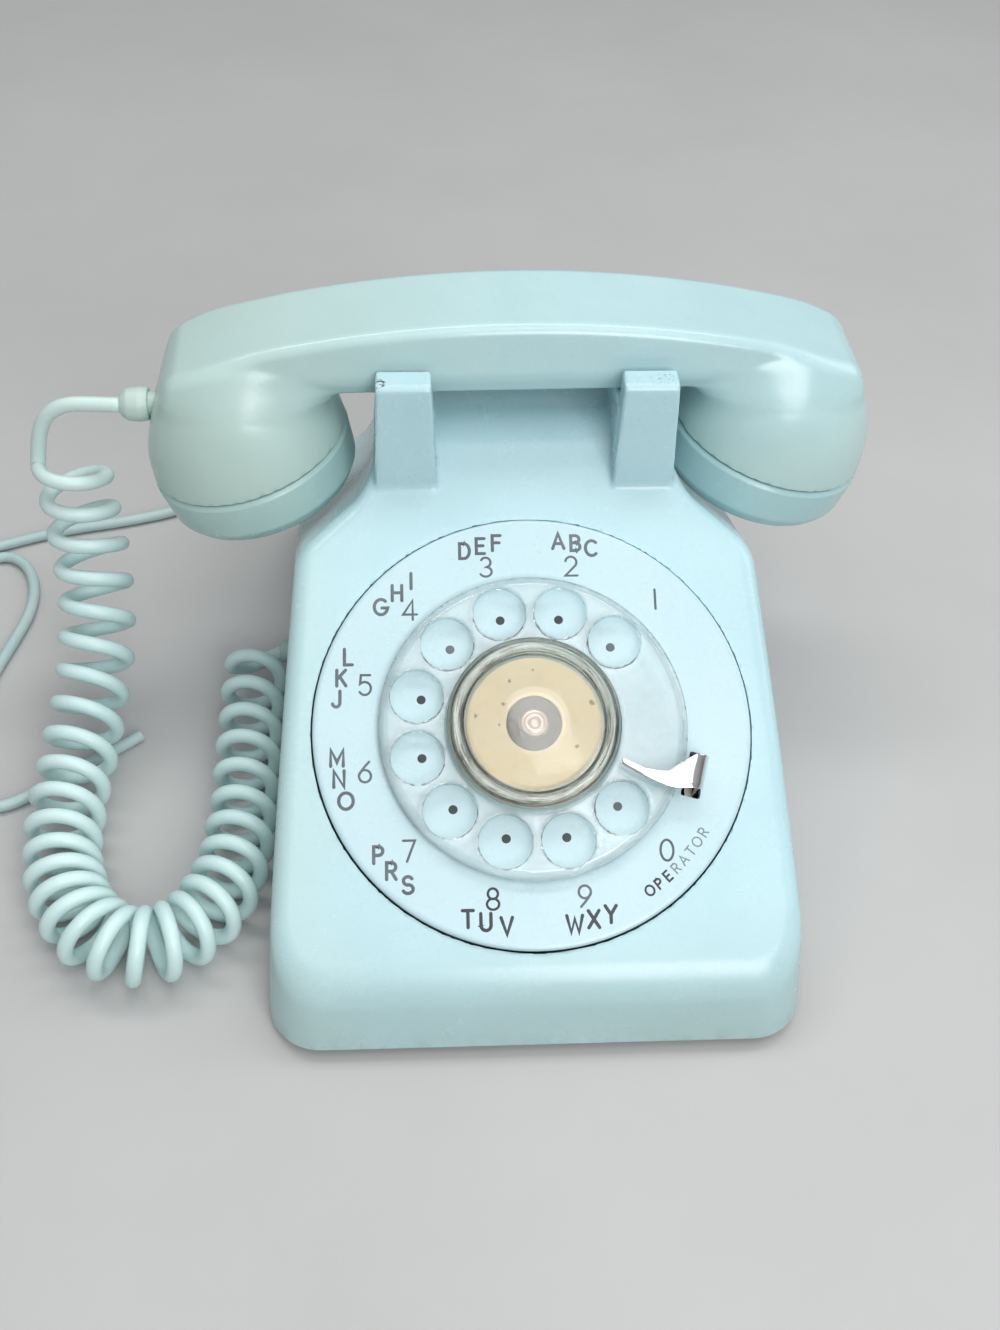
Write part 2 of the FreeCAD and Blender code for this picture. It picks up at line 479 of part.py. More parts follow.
# clear cover: a bevelled rim round a slightly domed window over the card
ret = turn_body("card_retainer_blank", [(0.0, d.hub_top + 1.0), (8.0, d.hub_top + 1.0), (17.2, d.hub_top + 0.05),
                                        ((d.hub_radius, "hub_radius"), d.hub_top + 0.05), (d.hub_radius, d.retainer_top - 2.6),
                                        (d.hub_radius - 1.6, d.retainer_top - 0.6), (17.4, d.retainer_top - 1.2),
                                        (17.0, d.hub_top + 1.7), (9.0, d.hub_top + 2.4), (0.0, d.hub_top + 2.6)])
node("card_retainer", ret, DIAL)
node("dial_hub_screw", cut("dial_hub_screw", fuse("hub_screw_blank", cyl("hub_screw_head", 3.6, 1.8, at=(0, 0, d.hub_top - 1.15)),
                                                  cyl("hub_screw_shank", 1.2, 6.0, at=(0, 0, d.hub_top - 1.2 - 5.5))),
                           box("hub_screw_slot", 8.0, 0.9, 2.0, at=(-4.0, -0.45, d.hub_top + 0.05))), DIAL)


def gear(name, module, teeth, height, z0, centre, phase, bore, short):
    """Involute gear; tooth 0 is centred on phase (radians)."""
    teeth = int(round(teeth))
    rp = module * teeth / 2.0
    rb = rp * math.cos(math.radians(20))
    ra = rp + module * short
    rf = rp - module * 1.15
    inv = math.tan(math.radians(20)) - math.radians(20)
    half = math.pi / (2 * teeth) - 0.09 * module / rp + inv
    pts = []
    for k in range(teeth):
        c = phase + 2 * math.pi * k / teeth
        flank = []
        for i in range(7):
            r = max(rb, rf) + (ra - max(rb, rf)) * i / 6.0
            t = math.sqrt(max(0.0, (r / rb) ** 2 - 1))
            flank.append((r, half - (t - math.atan(t))))
        root = (rf, flank[0][1] - 0.02 * module / rf - (0.05 if rf < rb else 0.0))
        for r, a in [root] + flank:
            pts.append(V(centre[0] + r * math.cos(c - a), centre[1] + r * math.sin(c - a), z0))
        for r, a in reversed([root] + flank):
            pts.append(V(centre[0] + r * math.cos(c + a), centre[1] + r * math.sin(c + a), z0))
    solid = Part.Face(Part.makePolygon(pts + [pts[0]])).extrude(V(0, 0, height))
    if bore:
        solid = solid.cut(Part.makeCylinder(bore, height + 2, V(centre[0], centre[1], z0 - 1)))
    o = doc.addObject("Part::Feature", name)
    o.Shape = solid
    return o


ma = math.radians(d.mid_angle)
fa = math.atan2(gov[1] - mid[1], gov[0] - mid[0])
node("dial_main_gear", gear("dial_main_gear", d.gear_module, d.gear_teeth, 2.4, -12.2, (0, 0), ma, d.shaft_radius + 0.02, 0.62), DIAL)
pin = gear("mid_pinion", d.gear_module, d.pinion_teeth, 3.2, -12.6, mid, ma + math.pi + math.pi / int(d.pinion_teeth), 0, 0.9)
node("intermediate_shaft", fuse("intermediate_shaft", pin, cyl("mid_rod", 1.5, d.bridge_deep + 2.0 - 4.0, at=(mid[0], mid[1], -d.bridge_deep - 2.0))), DIAL)
node("intermediate_gear", gear("intermediate_gear", d.fast_module, d.fast_teeth, 1.8, -17.4, mid, fa, 1.52, 0.62), DIAL)
cam = cut("pulse_cam", common("cam_blank", cyl("cam_disc", 5.0, 1.6, at=(mid[0], mid[1], -21.6)),
                              box("cam_flats", 7.6, 12.0, 1.6, at=(mid[0] - 3.8, mid[1] - 6.0, -21.6))),
          cyl("cam_bore", 1.52, 4.0, at=(mid[0], mid[1], -23.0)))
node("pulse_cam", cam, DIAL)
gpin = gear("gov_pinion", d.fast_module, d.fast_pinion_teeth, 2.6, -17.8, gov, fa + math.pi + math.pi / int(d.fast_pinion_teeth), 0, 0.9)
node("governor_shaft", fuse("governor_shaft", gpin, cyl("gov_rod", 1.0, d.bridge_deep + 2.0 - 4.0, at=(gov[0], gov[1], -d.bridge_deep - 2.0)),
                            box("gov_bar", 9.2, 2.4, 0.8, at=(gov[0] - 4.6, gov[1] - 1.2, -21.2))), DIAL)
weights = []
for s in (-1, 1):
    weights.append(box("weight_%d" % (s + 1), 2.0, 6.0, 2.4, at=(gov[0] + s * 5.6 - 1.0, gov[1] - 3.0, -22.0)))
node("governor_weights", group("governor_weights", *weights), DIAL)
node("governor_cup", cut("governor_cup", cyl("cup_outer", 8.6, 5.0, at=(gov[0], gov[1], -d.bridge_deep)),
                         cyl("cup_inner", 7.6, 5.0, at=(gov[0], gov[1], -d.bridge_deep + 0.8)),
                         cyl("cup_bore", 1.4, 6.0, at=(gov[0], gov[1], -d.bridge_deep - 2.0))), DIAL)
ms = doc.addObject("Part::Feature", "dial_main_spring")
ms.Shape = Part.Wire(Part.makeHelix(1.7, 8.5, 5.6)).makePipeShell([Part.Wire([Part.makeCircle(0.6, V(5.6, 0, 0), V(0, 1, 0.05))])], True, True)
node("dial_main_spring", ms, DIAL.multiply(Place(V(0, 0, -24.6), Rot())))
# the blades stand clear of the governor cup on the far side of the cam
leaf = [box("pulse_blade_%d" % i, 20.0, 0.4, 2.4, at=(mid[0] - 4.0, mid[1] - 6.4 - 1.7 * i, -22.0)) for i in range(3)]
node("pulse_contact_springs", group("pulse_contact_springs", *leaf), DIAL)
# finger stop: post through the plate, hook reaching in over the wheel
hook = fuse("finger_stop", box("stop_post", 1.2, 8.0, 12.0, at=(42.6, -17.4, -5.9)),
            pad_body("stop_arm", "XY_Plane", [(43.8, -17.4), (43.8, -9.4), (36.0, -12.6), (22.4, -8.0), (21.4, -9.6), (34.0, -17.2)],
                     "1.2", symmetric=False, offset=6.1))
node("finger_stop", hook, DIAL)
mount = []
for s in (-1, 1):
    x0 = 39.7 if s > 0 else -41.7
    up = box("mount_upright_%d" % (s + 1), 2.0, 34.0, 40.0, at=(x0, -64.0, plate_top))
    foot = box("mount_foot_%d" % (s + 1), 9.0, 34.0, 2.0, at=(39.7 if s > 0 else -48.7, -64.0, plate_top))
    b = fuse("mount_blank_%d" % (s + 1), up, foot)
    tool = box("mount_trim_%d" % (s + 1), 40.0, 120.0, 60.0)
    tool.Placement = DIAL.multiply(Place(V(20.0 if s > 0 else -60.0, -60.0, -6.6), Rot()))
    bores = []
    for k in (-1, 1):
        c = cyl("mount_bore_%d_%d" % (s + 1, k + 1), 1.56, 20.0)
        c.Placement = DIAL.multiply(Place(V(s * 40.7 - 10.0, k * 6.0, -15.0), TO_X))
        bores.append(c)
    mount.append(cut("mount_%d" % (s + 1), b, tool, *bores))
node("dial_mount_brackets", group("dial_mount_brackets", *mount))
dscrews = []
for s in (-1, 1):
    for k in (-1, 1):
        x = 37.4 if s > 0 else -42.4
        head_x = 41.8 if s > 0 else -43.2
        dscrews.append(fuse("dial_screw_%d_%d" % (s + 1, k + 1), cyl("dial_shank_%d_%d" % (s + 1, k + 1), 1.5, 5.0, at=(x, k * 6.0, -15.0), rot=TO_X),
                            cyl("dial_head_%d_%d" % (s + 1, k + 1), 2.8, 1.4, at=(head_x, k * 6.0, -15.0), rot=TO_X)))
node("dial_mount_screws", group("dial_mount_screws", *dscrews), DIAL)

# ------------------------------------------------------------------ handset
hy, hz = d.handset_y, d.handle_top


def top_z(x):
    x = abs(x)
    return hz - x * x / 640.0 - max(0.0, x - 60.0) ** 2 / 320.0


top_pts = [(x, top_z(x)) for x in (92.4, 85, 75, 65, 52, 38, 24, 10)]
half_pts = [((d.handset_half, "handset_half"), 93.0), (101.8, 101.5), (97.4, 108.5)] + top_pts
under = [(45.5, (d.handle_under, "handle_under")), (54.6, 100.0), (67.6, 94.0), (97.0, 84.0)]
# the handset lies in the cradle a little to the left and slightly askew
HAND = Place(V(d.handset_shift, 0, 0), Rot(RZ, d.handset_yaw), V(0, d.handset_y, 0))
outline = half_pts + [(-x[0] if not isinstance(x[0], tuple) else (-x[0][0], "-" + x[0][1]), x[1]) for x in reversed(half_pts)] \
    + [(-x[0], x[1]) for x in reversed(under)] + under
handle = pad_body("handle", "XZ_Plane", outline, "handle_width", offset=-d.handset_y)
lean = math.radians(d.cap_tilt)
AXES = {}
for s, name in ((-1, "left"), (1, "right")):
    # own Z of each capsule end points away from the mouth or ear, up into the handle
    AXES[s] = Place(V(s * d.cap_x, hy, d.seam_z), Rot(RY, s * d.cap_tilt))
cups, bores = [], []
for s, tag in ((-1, "l"), (1, "r")):
    parts = [cyl("cup_wall_" + tag, "cup_radius", 11.0), cone("cup_dome_" + tag, "cup_radius", 13.0, 20.0),
             cyl("cup_neck_" + tag, "cup_bore + 2", 6.0)]
    for p, z in zip(parts, (0.0, 11.0, -6.0)):
        p.Placement = AXES[s].multiply(Place(V(0, 0, z), Rot()))
    cups += parts
    b = cyl("cup_hollow_" + tag, "cup_bore", 21.0)
    b.Placement = AXES[s].multiply(Place(V(0, 0, -7.0), Rot()))
    bores.append(b)
boot_hole = cyl("boot_hole", 3.4, 31.0, at=(-109.0, hy, d.boot_z), rot=TO_X)
# the wires run along the handle and drop into each cup
wire_way = cyl("wire_way", 3.6, "2*(cap_x - 12)", at=(-(d.cap_x - 12.0), hy, 118.0), rot=TO_X)
drops = []
for s in (-1, 1):
    c = cyl("wire_drop_%d" % (s + 1), 3.4, 26.0, at=(s * 60.6, hy, 93.0))
    drops.append(c)
node("handset_shell", cut("handset_shell", fuse("handset_blank", handle, *cups), *bores, wire_way, *drops, boot_hole), HAND)
for s, name, ring in ((-1, "transmitter_cap", 3), (1, "receiver_cap", 2)):
    capb = turn_body(name + "_blank", [((d.cap_radius, "cap_radius"), -0.15), (d.cap_radius - 0.8, -d.cap_height + 5.0), (d.cap_radius - 1.6, -d.cap_height + 2.0),
                                       (d.cap_radius - 4.2, -d.cap_height), (d.cap_radius - 12.0, -d.cap_height + 0.6), (0.0, -d.cap_height + 1.2),
                                       (0.0, -d.cap_height + 4.0), (d.cap_radius - 6.0, -d.cap_height + 3.4), (d.cup_bore + 2.06, -d.cap_height + 6.2),
                                       (d.cup_bore + 2.06, -0.15)])
    pits = []
    for k in range(ring):
        n = 6 * (k + 1)
        for i in range(n):
            a = 2 * math.pi * i / n
            pits.append(cyl("%s_hole_%d_%d" % (name, k, i), 1.1, 8.0, at=(5.0 * (k + 1) * math.cos(a), 5.0 * (k + 1) * math.sin(a), -d.cap_height - 1.0)))
    node(name, cut(name, capb, *pits), HAND.multiply(AXES[s]))
node("transmitter_cup", cut("transmitter_cup", cyl("tx_cup", "cup_bore - 0.2", 9.0, at=(0, 0, 3.0)),
                            cyl("tx_cup_hollow", "cup_bore - 2", 7.5, at=(0, 0, 2.0))), HAND.multiply(AXES[-1]))
node("transmitter_capsule", fuse("transmitter_capsule", cyl("tx_body", "cup_bore - 2.4", 8.0, at=(0, 0, -0.2)),
                                 cyl("tx_rim", "cup_bore - 0.4", 2.6, at=(0, 0, -0.4))), HAND.multiply(AXES[-1]))
node("receiver_capsule", fuse("receiver_capsule", cyl("rx_body", "cup_bore - 3", 11.0, at=(0, 0, -1.0)),
                              cyl("rx_rim", "cup_bore - 0.4", 3.0, at=(0, 0, -3.0))), HAND.multiply(AXES[1]))
node("handset_cord_boot", cut("handset_cord_boot", fuse("boot_blank", cone("boot_cone", 4.4, 3.2, 4.7, at=(-103.9, hy, d.boot_z), rot=Rot(RY, -90)),
                                                        cyl("boot_plug", 3.35, 8.0, at=(-104.1, hy, d.boot_z), rot=TO_X)),
                              cyl("boot_bore", 1.2, 30.0, at=(-117.0, hy, d.boot_z), rot=TO_X)), HAND)

# ------------------------------------------------------------------ cords
def tube(name, pts, dia):
    """Round cord along straight runs joined by tangent arcs."""
    P = [V(*p) for p in pts]
    edges, at, radii, length = [], P[0], [], 0.0
    for i in range(1, len(P) - 1):
        a, b = P[i - 1] - P[i], P[i + 1] - P[i]
        la, lb = a.Length, b.Length
        a.normalize()
        b.normalize()
        turn = math.pi - math.acos(max(-1, min(1, a.dot(b))))
        reach = 0.45 * min(la, lb)
        r = reach / math.tan(turn / 2)
        radii.append(r)
        p0, p1 = P[i] + a * reach, P[i] + b * reach
        mid_dir = (a + b)
        mid_dir.normalize()
        centre = P[i] + mid_dir * (r / math.cos(turn / 2))
        pm = centre - mid_dir * r
        edges.append(Part.LineSegment(at, p0).toShape())
        edges.append(Part.Arc(p0, pm, p1).toShape())
        at = p1
    edges.append(Part.LineSegment(at, P[-1]).toShape())
    wire = Part.Wire(edges)
    first = (P[1] - P[0])
    section = Part.Wire([Part.makeCircle(dia / 2.0, P[0], first)])
    solid = wire.makePipeShell([section], True, False, 2)
    want = math.pi * dia * dia / 4 * wire.Length
    print("%s: length %.1f, volume %.3f of section times length, radii %s" %
          (name, wire.Length, solid.Volume / want, " ".join("%.1f" % r for r in radii)))
    o = doc.addObject("Part::Feature", name)
    o.Shape = solid
    return o


CURL = [(-79.6, 12.0, 10.4), (-79.6, -8.0, 10.2), (-79.0, -28.0, 10.2), (-78.6, -47.0, 10.2), (-80.8, -65.5, 10.2),
        (-90.0, -81.0, 10.2), (-104.5, -86.0, 10.2), (-118.0, -79.0, 10.2), (-126.5, -63.5, 10.2), (-129.4, -45.0, 10.6),
        (-129.0, -27.0, 13.2), (-127.6, -9.5, 19.5), (-126.2, 6.0, 29.0), (-126.0, 18.0, 42.0), (-127.0, 26.5, 56.5), (-127.6, 31.5, 71.0)]
BASE_TAIL = [(-72.4, 24.0, 12.0), (-77.4, 24.2, 13.0), (-80.6, 21.0, 15.4), (-80.2, 16.0, 17.4), (-79.6, 12.0, 18.0)]
HAND_TAIL = [(-110.1, 32.0, 100.0), (-118.2, 32.0, 100.3), (-126.3, 32.4, 99.4), (-132.6, 32.8, 94.6), (-135.6, 32.9, 87.2),
             (-135.9, 33.0, 79.0), (-135.2, 32.9, 71.6)]
LEAD = [(-30.0, 122.0, 12.0), (-30.2, 130.0, 10.8), (-33.0, 138.0, 7.2), (-40.5, 143.0, 3.6), (-52.0, 143.6, 1.9), (-68.0, 139.0, 1.9),
        (-83.0, 130.0, 1.9), (-98.0, 118.0, 1.9), (-114.0, 107.6, 1.9), (-132.0, 101.6, 1.9), (-150.0, 97.8, 1.9),
        (-166.0, 92.4, 1.9), (-180.0, 86.0, 1.9), (-191.5, 82.0, 1.9), (-202.0, 81.4, 1.9)]
TAIL = [(-183.6, 60.0, 1.9), (-183.2, 70.0, 1.9), (-179.4, 79.4, 1.9), (-171.4, 84.0, 1.9), (-163.4, 78.6, 1.9), (-158.6, 67.0, 1.9),
        (-158.0, 54.0, 1.9), (-161.0, 40.5, 1.9), (-165.0, 24.0, 1.9), (-168.2, 6.0, 1.9), (-168.4, -12.0, 1.9), (-163.4, -26.4, 1.9),
        (-152.8, -29.8, 1.9), (-142.0, -23.4, 1.9), (-131.0, -14.0, 1.9), (-121.0, -6.6, 1.9), (-114.8, -1.4, 1.9)]
node("handset_cord_curl", tube("handset_cord_curl", CURL, d.curl_diameter))
node("handset_cord_base_tail", tube("handset_cord_base_tail", BASE_TAIL, d.cord_diameter))
node("handset_cord_handset_tail", tube("handset_cord_handset_tail", HAND_TAIL, d.cord_diameter))
node("line_cord_lead", tube("line_cord_lead", LEAD, d.line_diameter))
node("line_cord_tail", tube("line_cord_tail", TAIL, d.line_diameter))
coil_in = d.coil_radius - d.coil_width / 2
node("line_cord_coil", cut("line_cord_coil", cyl("coil_ring", "coil_radius + coil_width/2", "coil_height", at=(d.coil_x, d.coil_y, 0.7)),
                           cyl("coil_eye", "coil_radius - coil_width/2", 30.0, at=(d.coil_x, d.coil_y, -5.0))))
tie = cut("cord_tie", box("tie_outer", "coil_width + 2", 5.0, "coil_height + 1.2", at=(d.coil_x - d.coil_radius - d.coil_width / 2 - 1.0, d.coil_y - 2.5, 0.1)),
          box("tie_inner", "coil_width + 0.8", 9.0, "coil_height + 0.2", at=(d.coil_x - d.coil_radius - d.coil_width / 2 - 0.4, d.coil_y - 4.5, 0.6)))
node("cord_tie", tie)
node("base_cord_grommet", cut("base_cord_grommet", fuse("grommet_blank", cyl("grommet_neck", 3.6, 8.0, at=(-72.3, 24.0, 12.0), rot=TO_X),
                                                        cyl("grommet_flange", 4.8, 2.0, at=(-71.0, 24.0, 12.0), rot=TO_X)),
                              cyl("grommet_bore", 1.0, 20.0, at=(-75.0, 24.0, 12.0), rot=TO_X)))
node("line_cord_strain_relief", cut("line_cord_strain_relief",
     fuse("relief_blank", cone("relief_cone", 5.2, 2.6, 10.4, at=(-30.0, 111.5, 12.0), rot=TO_Y), cyl("relief_plug", 4.1, 6.0, at=(-30.0, 106.0, 12.0), rot=TO_Y)),
     cyl("relief_bore", 1.0, 30.0, at=(-30.0, 100.0, 12.0), rot=TO_Y)))

# ------------------------------------------------------------------ checks and files
doc.recompute()
bad = []
for o in doc.Objects:
    if any(w in o.State for w in ("Invalid", "Error")):
        bad.append("%s: %s" % (o.Name, o.State))
for name, o in NODES.items():
    s = o.Shape
    if s.isNull() or not s.isValid() or s.Volume <= 0 or not s.Solids:
        bad.append("%s: bad shape" % name)
if bad:
    raise SystemExit("\n".join(bad))
for name, o in NODES.items():
    s = o.Shape
    b = s.BoundBox
    print("%-28s solids %d volume %9.1f  x %.1f %.1f  y %.1f %.1f  z %.1f %.1f" %
          (name, len(s.Solids), s.Volume, b.XMin, b.XMax, b.YMin, b.YMax, b.ZMin, b.ZMax))
    s.exportStep("parts/%s.step" % name)
print(len(NODES), "nodes")
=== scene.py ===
import math

import bmesh
import bpy
import numpy as np
from mathutils import Matrix, Vector


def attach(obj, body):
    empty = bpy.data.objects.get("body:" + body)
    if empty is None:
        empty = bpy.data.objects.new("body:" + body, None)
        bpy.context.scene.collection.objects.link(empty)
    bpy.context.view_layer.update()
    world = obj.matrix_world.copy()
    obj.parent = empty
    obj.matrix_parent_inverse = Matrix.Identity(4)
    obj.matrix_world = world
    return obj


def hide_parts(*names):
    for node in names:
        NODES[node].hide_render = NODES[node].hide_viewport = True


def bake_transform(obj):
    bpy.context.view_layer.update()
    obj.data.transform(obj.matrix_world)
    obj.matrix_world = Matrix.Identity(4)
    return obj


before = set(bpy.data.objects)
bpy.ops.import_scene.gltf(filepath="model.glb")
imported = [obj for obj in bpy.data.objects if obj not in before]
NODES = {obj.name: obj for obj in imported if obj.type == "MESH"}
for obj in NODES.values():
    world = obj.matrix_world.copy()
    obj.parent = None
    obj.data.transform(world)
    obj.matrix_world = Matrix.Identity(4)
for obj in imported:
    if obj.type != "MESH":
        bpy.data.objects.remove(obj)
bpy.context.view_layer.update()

# Shapes are worked out in millimetres in the CAD frame and scaled to metres when a mesh is made.
MM = 0.001
SCENE = bpy.context.scene


def link(obj):
    SCENE.collection.objects.link(obj)
    return obj


# ------------------------------------------------------------------ camera
ELEV, YAW, ROLL = math.radians(45.0), math.radians(-3.99), math.radians(1.96)
back = Vector((math.sin(YAW) * math.cos(ELEV), -math.cos(YAW) * math.cos(ELEV), math.sin(ELEV)))
right = (-back).cross(Vector((0, 0, 1))).normalized()
upward = right.cross(-back)
cam_x = right * math.cos(ROLL) + upward * math.sin(ROLL)
cam_y = -right * math.sin(ROLL) + upward * math.cos(ROLL)
cam = link(bpy.data.objects.new("camera", bpy.data.cameras.new("camera")))
cam.matrix_world = Matrix.Translation((-0.026884, -0.305674, 0.335014)) @ Matrix((cam_x, cam_y, back)).transposed().to_4x4()
cam.data.lens = 39.49
cam.data.sensor_width = 36.0
cam.data.clip_start = 0.01
SCENE.camera = cam


# ------------------------------------------------------------------ materials
def tree(name):
    m = bpy.data.materials.new(name)
    m.use_nodes = True
    t = m.node_tree
    t.nodes.clear()
    return m, t


def node(t, kind, **values):
    n = t.nodes.new(kind)
    for k, v in values.items():
        if k in n.inputs:
            n.inputs[k].default_value = v
        else:
            setattr(n, k, v)
    return n


def noise(t, coord, scale, detail=3.0, rough=0.5, distort=0.0):
    n = node(t, "ShaderNodeTexNoise", Scale=scale, Detail=detail, Roughness=rough, Distortion=distort)
    t.links.new(coord, n.inputs["Vector"])
    return n.outputs["Fac"]


def remap(t, value, a, b, c=0.0, d=1.0, smooth=False):
    n = node(t, "ShaderNodeMapRange")
    n.interpolation_type = "SMOOTHSTEP" if smooth else "LINEAR"
    t.links.new(value, n.inputs["Value"])
    for k, v in (("From Min", a), ("From Max", b), ("To Min", c), ("To Max", d)):
        n.inputs[k].default_value = v
    return n.outputs["Result"]


def times(t, a, b):
    n = node(t, "ShaderNodeMath", operation="MULTIPLY")
    t.links.new(a, n.inputs[0])
    if isinstance(b, float):
        n.inputs[1].default_value = b
    else:
        t.links.new(b, n.inputs[1])
    return n.outputs[0]


def mixed(t, fac, a, b):
    n = node(t, "ShaderNodeMix", data_type="RGBA")
    t.links.new(fac, n.inputs["Factor"])
    for k, v in ((6, a), (7, b)):
        if isinstance(v, tuple):
            n.inputs[k].default_value = (*v, 1.0)
        else:
            t.links.new(v, n.inputs[k])
    return n.outputs[2]


def coords(t, stretch=None):
    c = node(t, "ShaderNodeTexCoord").outputs["Object"]
    if stretch:
        m = node(t, "ShaderNodeMapping")
        m.inputs["Scale"].default_value = stretch
        t.links.new(c, m.inputs["Vector"])
        return m.outputs["Vector"]
    return c


def axis_of(t, coord, axis):
    n = node(t, "ShaderNodeSeparateXYZ")
    t.links.new(coord, n.inputs[0])
    return n.outputs[axis]


def bumps(t, height, strength, distance, into):
    b = node(t, "ShaderNodeBump", Strength=strength, Distance=distance)
    t.links.new(height, b.inputs["Height"])
    t.links.new(b.outputs["Normal"], into)


def surface(t, **sockets):
    s = node(t, "ShaderNodeBsdfPrincipled")
    for k, v in sockets.items():
        s.inputs[k.replace("_", " ")].default_value = v
    o = node(t, "ShaderNodeOutputMaterial")
    t.links.new(s.outputs[0], o.inputs["Surface"])
    return s


def plastic(name, low, high, rough=(0.22, 0.30), ageing_and_shade=None, grime=None, scuffs=(), speck=0.25, bump=0.05, coat=0.0):
    """Old glossy moulding: clouded colour, fine orange peel, worn gloss, a tint that grades along a direction
    (yellowing, and on the housing a painted shade towards the table), dirt near the table.
    """
    m, t = tree(name)
    c = coords(t)
    s = surface(t, IOR=1.5, Coat_Weight=coat, Coat_Roughness=0.12)
    colour = mixed(t, remap(t, noise(t, c, 34.0, 4.0, 0.6), 0.34, 0.66, 0.0, 1.0), low, high)
    fine = noise(t, c, 900.0, 2.0, 0.6)
    darker = tuple(v * 0.86 for v in low)
    colour = mixed(t, remap(t, fine, 0.52, 0.80, 0.0, speck), colour, darker)
    # each entry grades a tint along one axis: yellowing, except the housing's entry along height, which is painted
    # shade darkening the front skirt towards the table
    for axis, a, b, amount, tint in ageing_and_shade or ():
        f = remap(t, axis_of(t, c, axis), a, b, 0.0, amount, True)
        f = times(t, f, remap(t, noise(t, c, 22.0, 3.0, 0.6), 0.25, 0.75, 0.55, 1.0))
        colour = mixed(t, f, colour, tint)
    if grime:
        f = remap(t, axis_of(t, c, 2), grime, 0.004, 0.0, 1.0, True)
        f = times(t, f, remap(t, noise(t, c, 160.0, 5.0, 0.65), 0.46, 0.74, 0.0, 0.35))
        colour = mixed(t, f, colour, (0.20, 0.22, 0.20))
    for lo, hi, scale, cut in scuffs:
        f = remap(t, noise(t, coords(t, (1.0, 2.6, 1.0)), scale, 3.0, 0.55), cut, cut + 0.03)
        for axis in (0, 1, 2):
            v = axis_of(t, c, axis)
            mid, half = (lo[axis] + hi[axis]) / 2, (hi[axis] - lo[axis]) / 2
            f = times(t, f, remap(t, v, mid - half, mid - half * 0.6, 0.0, 1.0, True))
            f = times(t, f, remap(t, v, mid + half, mid + half * 0.6, 0.0, 1.0, True))
        colour = mixed(t, f, colour, (0.05, 0.055, 0.055))
    t.links.new(colour, s.inputs["Base Color"])
    wear = noise(t, c, 70.0, 6.0, 0.65)
    t.links.new(remap(t, wear, 0.3, 0.7, rough[0], rough[1]), s.inputs["Roughness"])
    bumps(t, noise(t, c, 520.0, 3.0, 0.55), bump, 0.0006, s.inputs["Normal"])
    return m


def metal(name, low, high, rough=(0.22, 0.4), stretch=(1.0, 1.0, 1.0), scale=300.0, metallic=1.0, bump=0.06, stain=None):
    m, t = tree(name)
    c = coords(t, stretch)
    s = surface(t, Metallic=metallic)
    n = noise(t, c, scale, 5.0, 0.6)
    colour = mixed(t, remap(t, n, 0.3, 0.7), low, high)
    if stain:
        colour = mixed(t, remap(t, noise(t, c, scale * 0.16, 4.0, 0.65), 0.56, 0.74, 0.0, 0.7), colour, stain)
    t.links.new(colour, s.inputs["Base Color"])
    t.links.new(remap(t, noise(t, c, scale * 0.4, 4.0, 0.6), 0.3, 0.7, rough[0], rough[1]), s.inputs["Roughness"])
    bumps(t, n, bump, 0.0003, s.inputs["Normal"])
    return m


